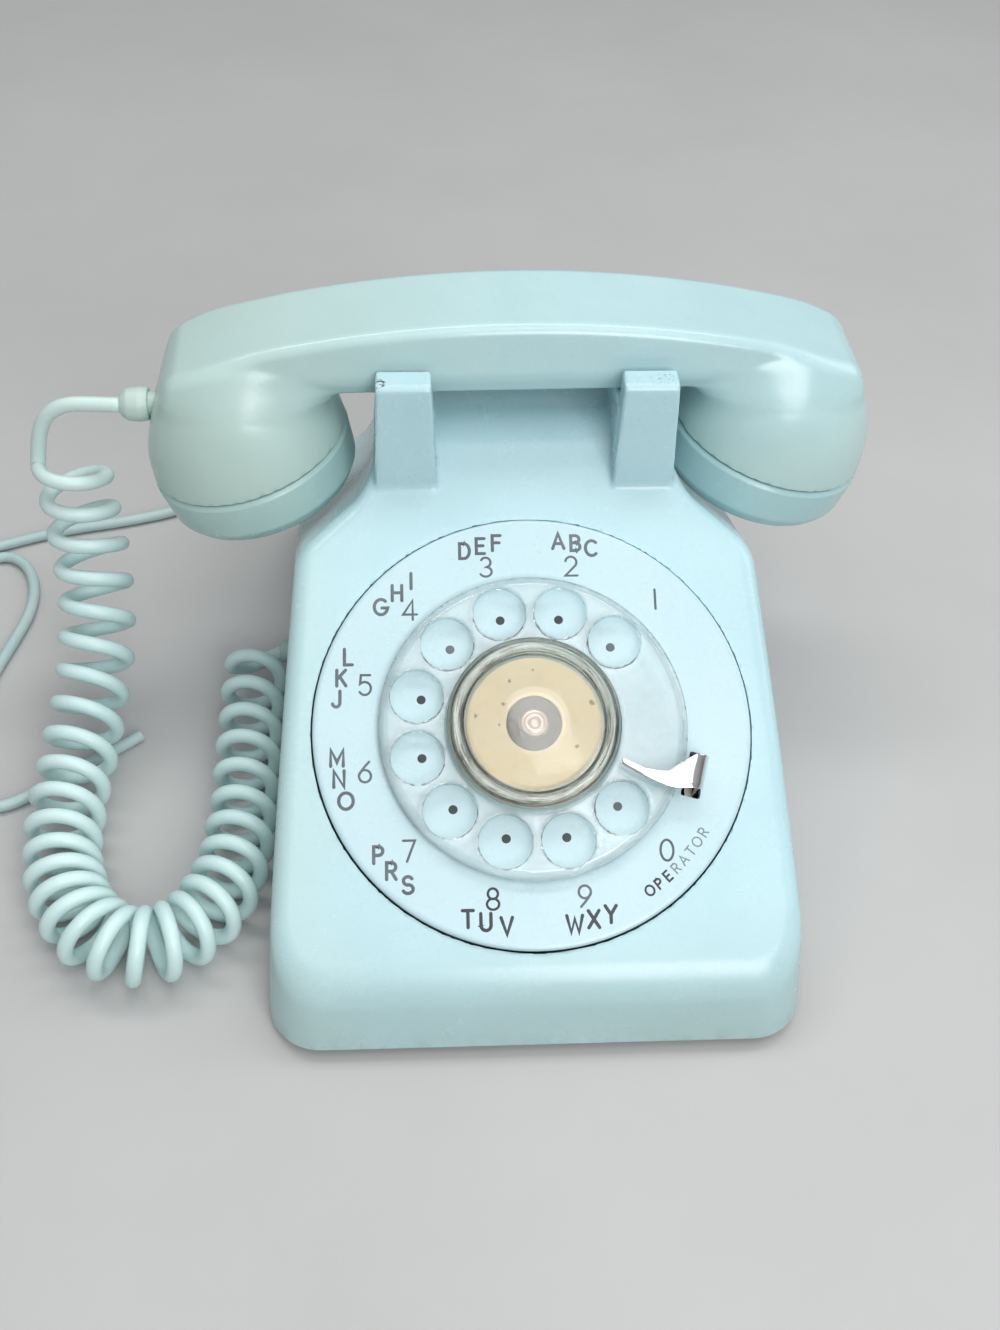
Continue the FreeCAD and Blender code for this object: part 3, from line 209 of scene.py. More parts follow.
def clear(name, tint, haze, haze_colour=(0.9, 0.95, 0.96), gloss=0.06, streak=(1.0, 1.0, 1.0), edge=None, hub=None, rings=None):
    """Clear moulding: what is behind shows through, with a gloss by Fresnel and a light haze of fine scratches;
    optionally painted shade: a darker tint where walls are seen edge-on, and painted dark rings with painted refraction
    streaks.
    """
    m, t = tree(name)
    c = coords(t, streak)
    through = node(t, "ShaderNodeBsdfTransparent", Color=(*tint, 1.0))
    # edge tint: walls seen edge-on turn darker, painted shade standing in for the shadow and refraction lines on hole
    # walls and cover steps
    if edge:
        lw = node(t, "ShaderNodeLayerWeight", Blend=0.45)
        t.links.new(mixed(t, lw.outputs["Facing"], tint, edge), through.inputs["Color"])
    # painted dark rings: a painted shadow line at the card's edge, a painted shade line at the outer gap, and painted
    # refraction streaks in the band between them, set by distance from the dial axis
    if rings:
        centre, marks, band, dark = rings
        pos = coords(t)
        away = node(t, "ShaderNodeVectorMath", operation="DISTANCE")
        out = node(t, "ShaderNodeVectorMath", operation="SUBTRACT")
        for n in (away, out):
            t.links.new(pos, n.inputs[0])
            n.inputs[1].default_value = centre
        unit = node(t, "ShaderNodeVectorMath", operation="NORMALIZE")
        t.links.new(out.outputs[0], unit.inputs[0])
        r = away.outputs["Value"]
        drawn = node(t, "ShaderNodeTexNoise", noise_dimensions="4D", Scale=2.4, Detail=3.0, Roughness=0.6)
        t.links.new(unit.outputs[0], drawn.inputs["Vector"])
        t.links.new(times(t, r, 1100.0), drawn.inputs["W"])
        f = times(t, remap(t, drawn.outputs["Fac"], 0.52, 0.66), remap(t, r, band[0], band[0] + 0.0003))
        f = times(t, f, remap(t, r, band[1] + 0.0003, band[1], 0.0, band[2]))
        for at, width, amount in marks:
            near = node(t, "ShaderNodeMath", operation="COMPARE")
            t.links.new(r, near.inputs[0])
            near.inputs[1].default_value, near.inputs[2].default_value = at, width
            line_f = times(t, near.outputs[0], remap(t, drawn.outputs["Fac"], 0.35, 0.6, amount * 0.35, amount))
            most = node(t, "ShaderNodeMath", operation="MAXIMUM")
            t.links.new(f, most.inputs[0])
            t.links.new(line_f, most.inputs[1])
            f = most.outputs[0]
        base = through.inputs["Color"].links[0].from_socket if edge else tint
        t.links.new(mixed(t, f, base, dark), through.inputs["Color"])
    shine = node(t, "ShaderNodeBsdfGlossy", Color=(1, 1, 1, 1))
    t.links.new(remap(t, noise(t, c, 240.0, 5.0, 0.65), 0.3, 0.7, gloss, gloss * 2.6), shine.inputs["Roughness"])
    veil = node(t, "ShaderNodeBsdfDiffuse", Color=(*haze_colour, 1.0))
    bumps(t, noise(t, c, 700.0, 3.0, 0.6), 0.04, 0.0003, shine.inputs["Normal"])
    first = node(t, "ShaderNodeMixShader")
    cloud = remap(t, noise(t, c, 110.0, 6.0, 0.7), 0.35, 0.75, haze[0], haze[1])
    if hub:
        away = node(t, "ShaderNodeVectorMath", operation="DISTANCE")
        t.links.new(coords(t), away.inputs[0])
        away.inputs[1].default_value = hub[0]
        cloud = times(t, cloud, remap(t, away.outputs["Value"], hub[1], hub[2], hub[3], 1.0, True))
    t.links.new(cloud, first.inputs[0])
    t.links.new(through.outputs[0], first.inputs[1])
    t.links.new(veil.outputs[0], first.inputs[2])
    second = node(t, "ShaderNodeMixShader")
    fr = node(t, "ShaderNodeFresnel", IOR=1.5)
    t.links.new(fr.outputs[0], second.inputs[0])
    t.links.new(first.outputs[0], second.inputs[1])
    t.links.new(shine.outputs[0], second.inputs[2])
    o = node(t, "ShaderNodeOutputMaterial")
    t.links.new(second.outputs[0], o.inputs["Surface"])
    return m


AQUA_LOW, AQUA_HIGH = (0.415, 0.615, 0.660), (0.450, 0.650, 0.695)
AGED = (0.470, 0.600, 0.535)
MAT = {
    # the second entry darkens the housing towards the table: painted shade on the front skirt
    "housing_plastic": plastic("housing_plastic", AQUA_LOW, AQUA_HIGH, ageing_and_shade=[(0, -0.035, -0.075, 0.45, AGED), (2, 0.036, 0.006, 0.75, (0.335, 0.455, 0.435))],
                               grime=0.009, scuffs=[((-0.0402, 0.009, 0.1185), (-0.0365, 0.0125, 0.1225), 700.0, 0.50),
                                                    ((0.031, 0.009, 0.1185), (0.0395, 0.0145, 0.1225), 1500.0, 0.61)]),
    "dial_plate_plastic": plastic("dial_plate_plastic", (0.465, 0.630, 0.677), (0.495, 0.660, 0.707), rough=(0.22, 0.34)),
    "handset_plastic": plastic("handset_plastic", (0.425, 0.620, 0.645), (0.460, 0.655, 0.675), rough=(0.18, 0.27),
                               ageing_and_shade=[(0, 0.020, -0.095, 0.85, AGED), (2, 0.118, 0.090, 0.55, AGED)]),
    "cap_plastic": plastic("cap_plastic", (0.370, 0.570, 0.590), (0.410, 0.610, 0.620), ageing_and_shade=[(0, 0.0, -0.09, 0.6, AGED)]),
    "cord_jacket": plastic("cord_jacket", (0.550, 0.735, 0.730), (0.610, 0.790, 0.780), rough=(0.30, 0.46),
                           ageing_and_shade=[(2, 0.040, 0.100, 0.5, (0.60, 0.69, 0.60))], bump=0.08),
    "line_jacket": plastic("line_jacket", (0.400, 0.540, 0.540), (0.460, 0.590, 0.580), rough=(0.40, 0.55), bump=0.08),
    "cord_boot": plastic("cord_boot", (0.470, 0.600, 0.560), (0.530, 0.660, 0.610), rough=(0.38, 0.52), bump=0.1),
    "print_ink": plastic("print_ink", (0.018, 0.022, 0.028), (0.045, 0.052, 0.060), rough=(0.45, 0.6), speck=0.3),
    "worn_ink": plastic("worn_ink", (0.050, 0.060, 0.070), (0.140, 0.170, 0.185), rough=(0.45, 0.6), speck=0.3),
    "faded_ink": plastic("faded_ink", (0.150, 0.180, 0.190), (0.250, 0.310, 0.320), rough=(0.45, 0.6), speck=0.3),
    # the wheel's edge tint is painted shade: darker arcs on the hole walls
    "clear_plastic": clear("clear_plastic", (0.985, 0.995, 0.995), (0.03, 0.20), gloss=0.05, edge=(0.66, 0.80, 0.81),
                           hub=((0.0, -0.05274, 0.05984), 0.0224, 0.0238, 0.12)),
    # the cover's edge tint and rings are painted shade: darker where walls are seen edge-on, a shadow line at the
    # card's edge (18.25 mm), a shade line at the outer gap (21.45 mm) and refraction streaks between
    "cover_plastic": clear("cover_plastic", (0.965, 0.955, 0.91), (0.00, 0.03), gloss=0.025, edge=(0.36, 0.34, 0.26),
                           rings=((0.0, -0.05427, 0.06242), ((0.01825, 0.00022, 1.0), (0.02145, 0.00024, 1.0)), (0.0187, 0.0212, 0.85), (0.20, 0.18, 0.14))),
    "foot_rubber": plastic("foot_rubber", (0.060, 0.042, 0.034), (0.095, 0.068, 0.054), rough=(0.6, 0.8), bump=0.2),
    "dark_moulding": plastic("dark_moulding", (0.022, 0.021, 0.020), (0.040, 0.037, 0.034), rough=(0.35, 0.5)),
    "plunger_plastic": plastic("plunger_plastic", (0.62, 0.66, 0.62), (0.72, 0.75, 0.70), rough=(0.3, 0.45)),
    "coil_tape": plastic("coil_tape", (0.36, 0.20, 0.05), (0.50, 0.30, 0.09), rough=(0.4, 0.6)),
    "tie_plastic": plastic("tie_plastic", (0.30, 0.33, 0.32), (0.40, 0.43, 0.42), rough=(0.4, 0.55)),
    "chrome": metal("chrome", (0.74, 0.74, 0.75), (0.82, 0.82, 0.82), rough=(0.06, 0.17), stretch=(1, 1, 1), scale=420.0, bump=0.03, stain=(0.55, 0.51, 0.46)),
    "plated_steel": metal("plated_steel", (0.52, 0.50, 0.45), (0.64, 0.62, 0.56), rough=(0.3, 0.5), stain=(0.36, 0.33, 0.27)),
    "screw_steel": metal("screw_steel", (0.50, 0.50, 0.50), (0.62, 0.62, 0.61), rough=(0.25, 0.45), stain=(0.30, 0.24, 0.19)),
    "hub_screw_steel": metal("hub_screw_steel", (0.50, 0.41, 0.40), (0.62, 0.52, 0.50), rough=(0.3, 0.5), metallic=0.75, scale=600.0),
    "spring_steel": metal("spring_steel", (0.40, 0.41, 0.43), (0.55, 0.56, 0.58), rough=(0.25, 0.4)),
    "brass": metal("brass", (0.58, 0.42, 0.16), (0.72, 0.55, 0.25), rough=(0.22, 0.42), stain=(0.34, 0.24, 0.10)),
    "contact_nickel": metal("contact_nickel", (0.62, 0.60, 0.55), (0.74, 0.72, 0.66), rough=(0.25, 0.4)),
    "capsule_metal": metal("capsule_metal", (0.55, 0.56, 0.57), (0.68, 0.69, 0.70), rough=(0.3, 0.5), stain=(0.40, 0.38, 0.34)),
}


def card_paper():
    m, t = tree("card_paper")
    c = coords(t)
    s = surface(t, Roughness=0.8)
    colour = mixed(t, remap(t, noise(t, c, 120.0, 5.0, 0.6), 0.3, 0.7), (0.85, 0.75, 0.54), (0.92, 0.84, 0.66))
    colour = mixed(t, remap(t, noise(t, c, 1500.0, 2.0, 0.5), 0.66, 0.74, 0.0, 0.55), colour, (0.28, 0.20, 0.11))
    colour = mixed(t, remap(t, noise(t, c, 420.0, 1.0, 0.4), 0.73, 0.76, 0.0, 0.8), colour, (0.22, 0.15, 0.08))
    t.links.new(colour, s.inputs["Base Color"])
    bumps(t, noise(t, c, 2200.0, 3.0, 0.6), 0.12, 0.0003, s.inputs["Normal"])
    return m


MAT["card_paper"] = card_paper()


# ------------------------------------------------------------------ mesh helpers
def add_mesh(name, verts, faces, mat, body, replaces=(), slot=None, sharp=35.0, scale=True):
    me = bpy.data.meshes.new(name)
    v = np.asarray(verts, float) * (MM if scale else 1.0)
    me.from_pydata(v.tolist(), [], [list(map(int, f)) for f in faces])
    me.validate()
    me.update()
    me.shade_smooth()
    if sharp:
        me.set_sharp_from_angle(angle=math.radians(sharp))
    me.materials.append(MAT[mat])
    o = link(bpy.data.objects.new(name, me))
    if body:
        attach(o, body)
    if replaces:
        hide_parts(*replaces)
    return o


def rmax(a, b, r):
    return np.minimum(np.maximum(a, b), -r) + np.hypot(np.maximum(a + r, 0), np.maximum(b + r, 0))


def rmin(a, b, r):
    return np.maximum(np.minimum(a, b), r) - np.hypot(np.maximum(r - a, 0), np.maximum(r - b, 0))


def lines(*spans):
    """Grid lines: (start, end, step) spans laid end to end."""
    out = []
    for a, b, step in spans:
        n = max(1, int(round((b - a) / step)))
        out += list(a + (b - a) * np.arange(n) / n)
    return np.array(out + [spans[-1][1]])


def contour(sdf, xs, ys, zs, flat=0.06):
    """Vertices and outward quads of the zero level of a signed distance, one vertex a cell, kept on its creases."""
    F = sdf(*np.meshgrid(xs, ys, zs, indexing="ij"))
    S = F < 0
    axes, n = (xs, ys, zs), np.array(F.shape)
    cells = n - 1
    P, N, C, flip = [], [], [], []
    for a in range(3):
        b, c = (a + 1) % 3, (a + 2) % 3
        lo, hi = [slice(None)] * 3, [slice(None)] * 3
        lo[a], hi[a] = slice(0, -1), slice(1, None)
        idx = np.argwhere(S[tuple(lo)] != S[tuple(hi)])
        ok = (idx[:, b] > 0) & (idx[:, b] < n[b] - 1) & (idx[:, c] > 0) & (idx[:, c] < n[c] - 1)
        idx = idx[ok]
        nxt = idx.copy()
        nxt[:, a] += 1
        p0 = np.stack([xs[idx[:, 0]], ys[idx[:, 1]], zs[idx[:, 2]]], 1)
        p1 = np.stack([xs[nxt[:, 0]], ys[nxt[:, 1]], zs[nxt[:, 2]]], 1)
        f0, f1 = F[tuple(idx.T)], F[tuple(nxt.T)]
        flip.append(f0 >= 0)
        for _ in range(4):
            t = np.clip(f0 / (f0 - f1), 0.02, 0.98)[:, None]
            p = p0 + (p1 - p0) * t
            f = sdf(*p.T)
            same = (f < 0) == (f0 < 0)
            p0, f0 = np.where(same[:, None], p, p0), np.where(same, f, f0)
            p1, f1 = np.where(same[:, None], p1, p), np.where(same, f1, f)
        t = np.clip(f0 / (f0 - f1 + 1e-30), 0, 1)[:, None]
        p = p0 + (p1 - p0) * t
        h = 0.02
        g = np.stack([sdf(*(p + h * np.eye(3)[k]).T) - sdf(*(p - h * np.eye(3)[k]).T) for k in range(3)], 1)
        g /= np.linalg.norm(g, axis=1)[:, None] + 1e-12
        P.append(p)
        N.append(g)
        quad = []
        for db, dc in ((-1, -1), (0, -1), (0, 0), (-1, 0)):
            q = idx.copy()
            q[:, b] += db
            q[:, c] += dc
            quad.append((q[:, 0] * cells[1] + q[:, 1]) * cells[2] + q[:, 2])
        C.append(np.stack(quad, 1))
    P, N, C, flip = np.concatenate(P), np.concatenate(N), np.concatenate(C), np.concatenate(flip)
    ids, inv = np.unique(C.ravel(), return_inverse=True)
    inv = inv.reshape(-1)
    m = len(ids)
    p4, n4 = np.repeat(P, 4, 0), np.repeat(N, 4, 0)

    def total(v):
        return np.bincount(inv, v, m)

    count = total(np.ones(len(inv)))
    mean = np.stack([total(p4[:, k]) for k in range(3)], 1) / count[:, None]
    off = ((p4 - mean[inv]) * n4).sum(1)
    A = np.empty((m, 3, 3))
    for i in range(3):
        for j in range(i, 3):
            A[:, i, j] = A[:, j, i] = total(n4[:, i] * n4[:, j]) / count
    B = np.stack([total(n4[:, k] * off) for k in range(3)], 1) / count[:, None]
    w, U = np.linalg.eigh(A)
    inv_w = np.where(w > flat * w[:, -1:], 1.0 / np.maximum(w, 1e-9), 0.0)
    X = mean + np.einsum("nij,nj,nkj,nk->ni", U, inv_w, U, B)
    ci = np.stack(np.unravel_index(ids, cells), 1)
    for k in range(3):
        X[:, k] = np.clip(X[:, k], axes[k][ci[:, k]], axes[k][ci[:, k] + 1])
    Q = inv.reshape(-1, 4)
    Q[flip] = Q[flip][:, ::-1]
    return X, Q


def soften(corners, steps=5):
    """A closed outline of (a, b, radius) corners with each corner turned on its own radius."""
    out, n = [], len(corners)
    for i in range(n):
        p = np.array(corners[i][:2], float)
        r = corners[i][2] if len(corners[i]) > 2 else 0.0
        if r <= 0:
            out.append(tuple(p))
            continue
        a, b = np.array(corners[i - 1][:2], float) - p, np.array(corners[(i + 1) % n][:2], float) - p
        la, lb = np.linalg.norm(a), np.linalg.norm(b)
        a, b = a / la, b / lb
        turn = math.pi - math.acos(max(-1.0, min(1.0, float(a @ b))))
        reach = min(r * math.tan(turn / 2), 0.48 * la, 0.48 * lb)
        rr = reach / math.tan(turn / 2)
        q = p + a * reach
        mid = a + b
        centre = p + mid / np.linalg.norm(mid) * (rr / math.cos(turn / 2))
        u, v = q - centre, p + b * reach - centre
        a0 = math.atan2(u[1], u[0])
        sweep = (math.atan2(v[1], v[0]) - a0 + math.pi) % (2 * math.pi) - math.pi
        for k in range(steps + 1):
            t = a0 + sweep * k / steps
            out.append((centre[0] + rr * math.cos(t), centre[1] + rr * math.sin(t)))
    return out


def turned(profile, n=96, closed=True):
    """Vertices and quads of an outline of (radius, height) turned about the height axis; the outline runs anticlockwise."""
    verts, rings = [], []
    for r, h in profile:
        if r < 1e-6:
            rings.append([len(verts)])
            verts.append((0.0, 0.0, h))
        else:
            rings.append(list(range(len(verts), len(verts) + n)))
            a = 2 * np.pi * np.arange(n) / n
            verts += [(r * math.cos(k), r * math.sin(k), h) for k in a]
    faces = []
    count = len(rings)
    for i in range(count if closed else count - 1):
        a, b = rings[i], rings[(i + 1) % count]
        if len(a) == 1 and len(b) == 1:
            continue
        for k in range(n):
            l = (k + 1) % n
            if len(a) == 1:
                faces.append((a[0], b[l], b[k]))
            elif len(b) == 1:
                faces.append((a[k], a[l], b[0]))
            else:
                faces.append((a[k], a[l], b[l], b[k]))
    return np.array(verts), faces


TILT = math.radians(30.7)
ST, CT = math.sin(TILT), math.cos(TILT)


def on_dial(p):
    """Dial coordinates (across, up the face, out along the shaft) to the CAD frame."""
    p = np.asarray(p, float)
    return np.stack([p[..., 0], -50.7 + p[..., 1] * CT - p[..., 2] * ST, 56.4 + p[..., 1] * ST + p[..., 2] * CT], -1)


LEAN = math.radians(15.0)


def on_hand(p):
    """Handset coordinates (along, across, up) to the CAD frame: it lies a little askew in its cradle."""
    p = np.asarray(p, float)
    c, k = math.cos(math.radians(1.35)), math.sin(math.radians(1.35))
    return np.stack([-2.3 + p[..., 0] * c - p[..., 1] * k, 34.6 + p[..., 0] * k + p[..., 1] * c, p[..., 2]], -1)


def on_end(s, p):
    """Coordinates of a handset end (its axis points up into the handle) to the CAD frame; s is -1 left, 1 right."""
    p = np.asarray(p, float)
    c, k = math.cos(s * LEAN), math.sin(s * LEAN)
    return on_hand(np.stack([s * 73.6 + p[..., 0] * c + p[..., 2] * k, p[..., 1], 85.0 - p[..., 0] * k + p[..., 2] * c], -1))


def join(*parts):
    verts, faces, at = [], [], 0
    for v, f in parts:
        verts.append(np.asarray(v, float))
        faces += [tuple(int(i) + at for i in q) for q in f]
        at += len(v)
    return np.concatenate(verts), faces


# ------------------------------------------------------------------ cords
def spline(name, pts, bevel=0.0, fine=8):
    cu = bpy.data.curves.new(name, "CURVE")
    cu.dimensions = "3D"
    sp = cu.splines.new("NURBS")
    sp.points.add(len(pts) - 1)
    for q, p in zip(sp.points, pts):
        q.co = (p[0] * MM, p[1] * MM, p[2] * MM, 1.0)
    sp.order_u = 3
    sp.use_endpoint_u = True
    sp.resolution_u = fine
    cu.resolution_u = fine
    cu.bevel_depth = bevel * MM
    cu.bevel_resolution = 4
    cu.use_fill_caps = bevel > 0
    return link(bpy.data.objects.new(name, cu))


def points_along(pts, fine=12):
    """Points read from the smooth line that a route's points control, in millimetres."""
    o = spline("route", pts, 0.0, fine)
    me = bpy.data.meshes.new_from_object(o)
    p = np.array([v.co for v in me.vertices], float) / MM
    cu = o.data
    bpy.data.objects.remove(o)
    bpy.data.curves.remove(cu)
    bpy.data.meshes.remove(me)
    return p


CURL = [(-80.4, 18.4, 10.8), (-80.2, -6, 10.6), (-79.8, -28, 10.6), (-79.8, -47, 10.8), (-82, -65.5, 11.2), (-90.6, -81, 11.4),
        (-104.5, -86.4, 11.6), (-118, -79.4, 11.7), (-126.6, -63.5, 11.7), (-129.4, -45, 11.9), (-128.6, -27, 14.0), (-126.6, -9.5, 19.8),
        (-124.6, 6, 29), (-124.0, 18, 42), (-125.4, 26.5, 56.5), (-127.0, 31.5, 71), (-127.4, 33.4, 79.5)]
BASE_TAIL = [(-72.4, 24.0, 12.0), (-76.6, 24.2, 9.4), (-82.4, 23.8, 5.6)]
HAND_TAIL = [(-134.4, 33.6, 90.0), (-131.0, 33.2, 96.3), (-125.4, 32.7, 99.8), (-118.2, 32.0, 100.2), (-108.6, 31.6, 100.0)]
line = points_along(CURL, 24)
seg = np.linalg.norm(np.diff(line, axis=0), axis=1)
run = np.concatenate([[0.0], np.cumsum(seg)])
grow = np.gradient(line, run, axis=0)
grow /= np.linalg.norm(grow, axis=1)[:, None]
pitch = np.interp(run, [0, 50, 80, 105, 145, 170, 230, run[-1]], [11.2, 10.6, 8.2, 7.0, 6.7, 9.4, 10.8, 10.2])
turns = np.concatenate([[0.0], np.cumsum(seg / ((pitch[1:] + pitch[:-1]) / 2))])
turns *= 30.5 / turns[-1]
per_turn = 16
spots = np.arange(0, 30.5 * per_turn + 0.5) / per_turn
helix = []
for i, k in enumerate(spots):
    s = float(np.interp(k, turns, run))
    p = np.array([np.interp(s, run, line[:, a]) for a in range(3)])
    t = np.array([np.interp(s, run, grow[:, a]) for a in range(3)])
    t /= np.linalg.norm(t)
    e1 = np.array((0.0, -0.707, 0.707))
    e1 = e1 - t * (e1 @ t)
    e1 /= np.linalg.norm(e1)
    e2 = np.cross(t, e1)
    r = float(np.interp(s, [0, 60, 95, 150, 230, run[-1]], [7.9, 8.0, 8.6, 9.0, 9.3, 9.2]))
    r += 0.14 * math.sin(2.3 * k) + 0.1 * math.sin(0.9 * k + 1.0)
    a = math.pi / 2 - 2 * math.pi * k
    helix.append(tuple(p + r * (math.cos(a) * e1 + math.sin(a) * e2)))
handset_line = points_along(BASE_TAIL + helix + HAND_TAIL, 5)
keep = np.concatenate([[True], np.linalg.norm(np.diff(handset_line, axis=0), axis=1) > 0.02])
handset_line = handset_line[keep]


def tube(pts, radius, sides=12):
    """A round cord along close points, with domed ends."""
    pts = np.asarray(pts, float)
    t = np.gradient(pts, axis=0)
    t /= np.linalg.norm(t, axis=1)[:, None]
    e = np.cross(t[0], (0.3, 0.2, 1.0))
    e /= np.linalg.norm(e)
    rings, ang = [], 2 * np.pi * np.arange(sides) / sides
    for i in range(len(pts)):
        e = e - t[i] * (e @ t[i])
        e /= np.linalg.norm(e)
        f = np.cross(t[i], e)
        rings.append(pts[i] + radius * (np.cos(ang)[:, None] * e + np.sin(ang)[:, None] * f))
    verts = np.concatenate(rings)
    faces = []
    for i in range(len(pts) - 1):
        a, b = i * sides, (i + 1) * sides
        for k in range(sides):
            l = (k + 1) % sides
            faces.append((a + k, a + l, b + l, b + k))
    n = len(verts)
    verts = np.concatenate([verts, [pts[0] - t[0] * radius * 0.3, pts[-1] + t[-1] * radius * 0.3]])
    last = (len(pts) - 1) * sides
    for k in range(sides):
        l = (k + 1) % sides
        faces.append((n, l, k))
        faces.append((n + 1, last + k, last + l))
    return verts, faces


handset_cord = add_mesh("handset_cord", *tube(handset_line, 2.15), "cord_jacket", None,
                        ("handset_cord_curl", "handset_cord_base_tail", "handset_cord_handset_tail"), "cord_jacket", sharp=0)
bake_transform(handset_cord)

LEAD = [(-30, 122, 12), (-30.2, 130, 10.8), (-33, 138, 7.2), (-40.5, 143, 3.6), (-52, 143.6, 1.9), (-68, 139, 1.9), (-83, 130, 1.9),
        (-98, 118, 1.9), (-114, 107.6, 1.9), (-132, 101.6, 1.9), (-150, 97.8, 1.9), (-166, 92.4, 1.9), (-180, 86, 1.9), (-191.5, 82.6, 1.9)]
TAIL = [(-181.6, 69.6, 1.9), (-178.6, 79.4, 1.9), (-171.4, 84, 1.9), (-163.4, 78.6, 1.9), (-158.6, 67, 1.9), (-158, 54, 1.9), (-161, 40.5, 1.9),
        (-165, 24, 1.9), (-168.2, 6, 1.9), (-168.4, -12, 1.9), (-163.4, -26.4, 1.9), (-152.8, -29.8, 1.9), (-142, -23.4, 1.9), (-131, -14, 1.9),
        (-121, -6.6, 1.9), (-114.8, -1.4, 1.9)]
CELLS = [(1, 0), (0, 0), (0, 1), (1, 1), (1, 2), (0, 2), (0, 3), (1, 3), (2, 3), (2, 2), (2, 1), (2, 0)]
coil = []
for i in range(int(11.742 * 18) + 1):
    k = i / 18.0
    c = int(k)
    f = min(1.0, max(0.0, (k - c - 0.80) / 0.20))
    f = f * f * (3 - 2 * f)
    a, b = CELLS[c], CELLS[min(c + 1, 11)]
    r = (15.9, 19.5, 23.1)[a[0]] * (1 - f) + (15.9, 19.5, 23.1)[b[0]] * f
    z = (1.95, 5.6, 9.2, 12.8)[a[1]] * (1 - f) + (1.95, 5.6, 9.2, 12.8)[b[1]] * f
    ang = math.radians(87.0) + 2 * math.pi * k
    coil.append((-203.0 + r * math.cos(ang), 62.0 + r * math.sin(ang), z))
line_route = points_along(LEAD + coil + TAIL, 6)
line_cord = spline("line_cord", LEAD + coil + TAIL, 1.8, 6)
line_cord.data.materials.append(MAT["line_jacket"])
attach(line_cord, "base")
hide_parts("line_cord_lead", "line_cord_tail", "line_cord_coil")


# ------------------------------------------------------------------ housing
T6, C6 = math.tan(math.radians(6.0)), math.cos(math.radians(6.0))


def block(x, y, z):
    """The outside of the housing without its cradle, open downwards."""
    ax = np.abs(x)
    belly = 1.3 * np.clip(1 - ((z - 46.0) / 44.0) ** 2, 0, None)
    side = (ax - (69.0 - (z - 4.5) * T6 + belly)) * C6
    skirt = (y + 112.0) * -0.953 + (z - 4.5) * 0.3027
    wall = (y - 112.0) * 0.950 + (z - 4.5) * 0.311
    slope = (y - 103.0) * 0.8623 + (z - 32.0) * 0.5064
    bevel = (y - 66.0) * 0.4472 + (z - 95.0) * 0.8944
    face = (y + 49.934) * -ST + (z - 55.11) * CT
    d = rmax(side, skirt, 14.0)
    d = rmax(d, rmax(wall, slope, 2.0), 13.0)
    d = rmax(d, face, 4.2)
    d = rmax(d, rmax(z - 99.0, bevel, 4.0), 3.5)
    shoulder = (ax - 60.5) * 0.6155 + (y + 8.0) * 0.3234 + (z - 80.0) * 0.7187
    return rmax(d, rmin(shoulder, ax - 41.0 + 0.05 * (z - 90.0), 6.0), 2.6)


def bar(x, y, z, lo, hi, r):
    d = rmax(np.abs(x - (lo[0] + hi[0]) / 2) - (hi[0] - lo[0]) / 2, np.abs(y - (lo[1] + hi[1]) / 2) - (hi[1] - lo[1]) / 2, r)
    return rmax(d, np.abs(z - (lo[2] + hi[2]) / 2) - (hi[2] - lo[2]) / 2, r)


def housing(x, y, z):
    outer = block(x, y, z)
    hold = bar(x, y, z, (-22.0, 44.0, 80.0), (22.0, 140.0, 160.0), 4.0)
    d = rmax(outer, -hold, 2.0)
    ax = np.abs(x)
    pad = bar(ax, y, z, (24.4, 12.0, 90.0), (40.0, 58.0, 111.0), 1.4)
    fy = 35.0 - np.abs(y - 35.0)
    fall = (121.0 - z) / 34.4
    prong = rmax(rmax(8.5 - 1.3 * fall - fy, z - 121.0 - 0.12 * (fy - 12.3), 1.8), fy - 15.4, 1.0)
    prong = rmax(prong, np.abs(ax - 32.2) - (7.2 + 1.2 * fall), 1.0)
    prong = np.maximum(prong, 84.0 - z)
    d = rmin(d, rmin(prong, pad, 1.0), 1.2)
    inside = np.maximum(outer + 3.5, -(hold - 2.6))
    post = np.minimum(np.hypot(x, y + 100.0), np.hypot(x, y - 102.0))
    inside = np.maximum(inside, np.minimum(4.6 - post, 0 * z + 9.0) * np.where(z > 6.6, 1.0, -1.0))
    d = np.maximum(rmax(d, 3.6 - z, 0.5), -inside)
    w = (y + 50.7) * -ST + (z - 56.4) * CT
    v = (y + 50.7) * CT + (z - 56.4) * ST
    d = rmax(d, -np.maximum(np.hypot(x, v) - 57.5, np.abs(w) - 20.0), 0.5)
    d = np.maximum(d, -np.maximum(np.hypot(ax - 32.2, y - 35.0) - 3.7, 80.0 - z))
    d = np.maximum(d, -np.maximum(post - 1.9, np.where(y < 0, z - 15.5, z - 21.5)))
    d = np.maximum(d, -np.maximum(np.hypot(y - 24.0, z - 12.0) - 3.75, x + 60.0))
    d = np.maximum(d, -np.maximum(np.hypot(x + 30.0, z - 12.0) - 4.25, 100.0 - y))
    return d


fine_x = [(-72.6, -58.2, 1.2), (-58.2, -42.6, 1.3), (-42.6, -21.0, 0.8), (-21.0, -6.0, 1.5), (-6.0, 6.0, 1.0), (6.0, 21.0, 1.5),
          (21.0, 42.6, 0.8), (42.6, 58.2, 1.3), (58.2, 72.6, 1.2)]
fine_y = [(-114.6, -92.0, 1.2), (-92.0, 4.0, 1.4), (4.0, 17.6, 0.75), (17.6, 52.4, 1.0), (52.4, 66.0, 0.75), (66.0, 98.0, 1.4), (98.0, 114.8, 1.2)]
fine_z = [(2.6, 24.0, 1.2), (24.0, 84.0, 1.4), (84.0, 99.0, 1.0), (99.0, 123.0, 0.75)]
add_mesh("housing_moulding", *contour(housing, lines(*fine_x), lines(*fine_y), lines(*fine_z)), "housing_plastic", "base", ("housing",), sharp=38.0)


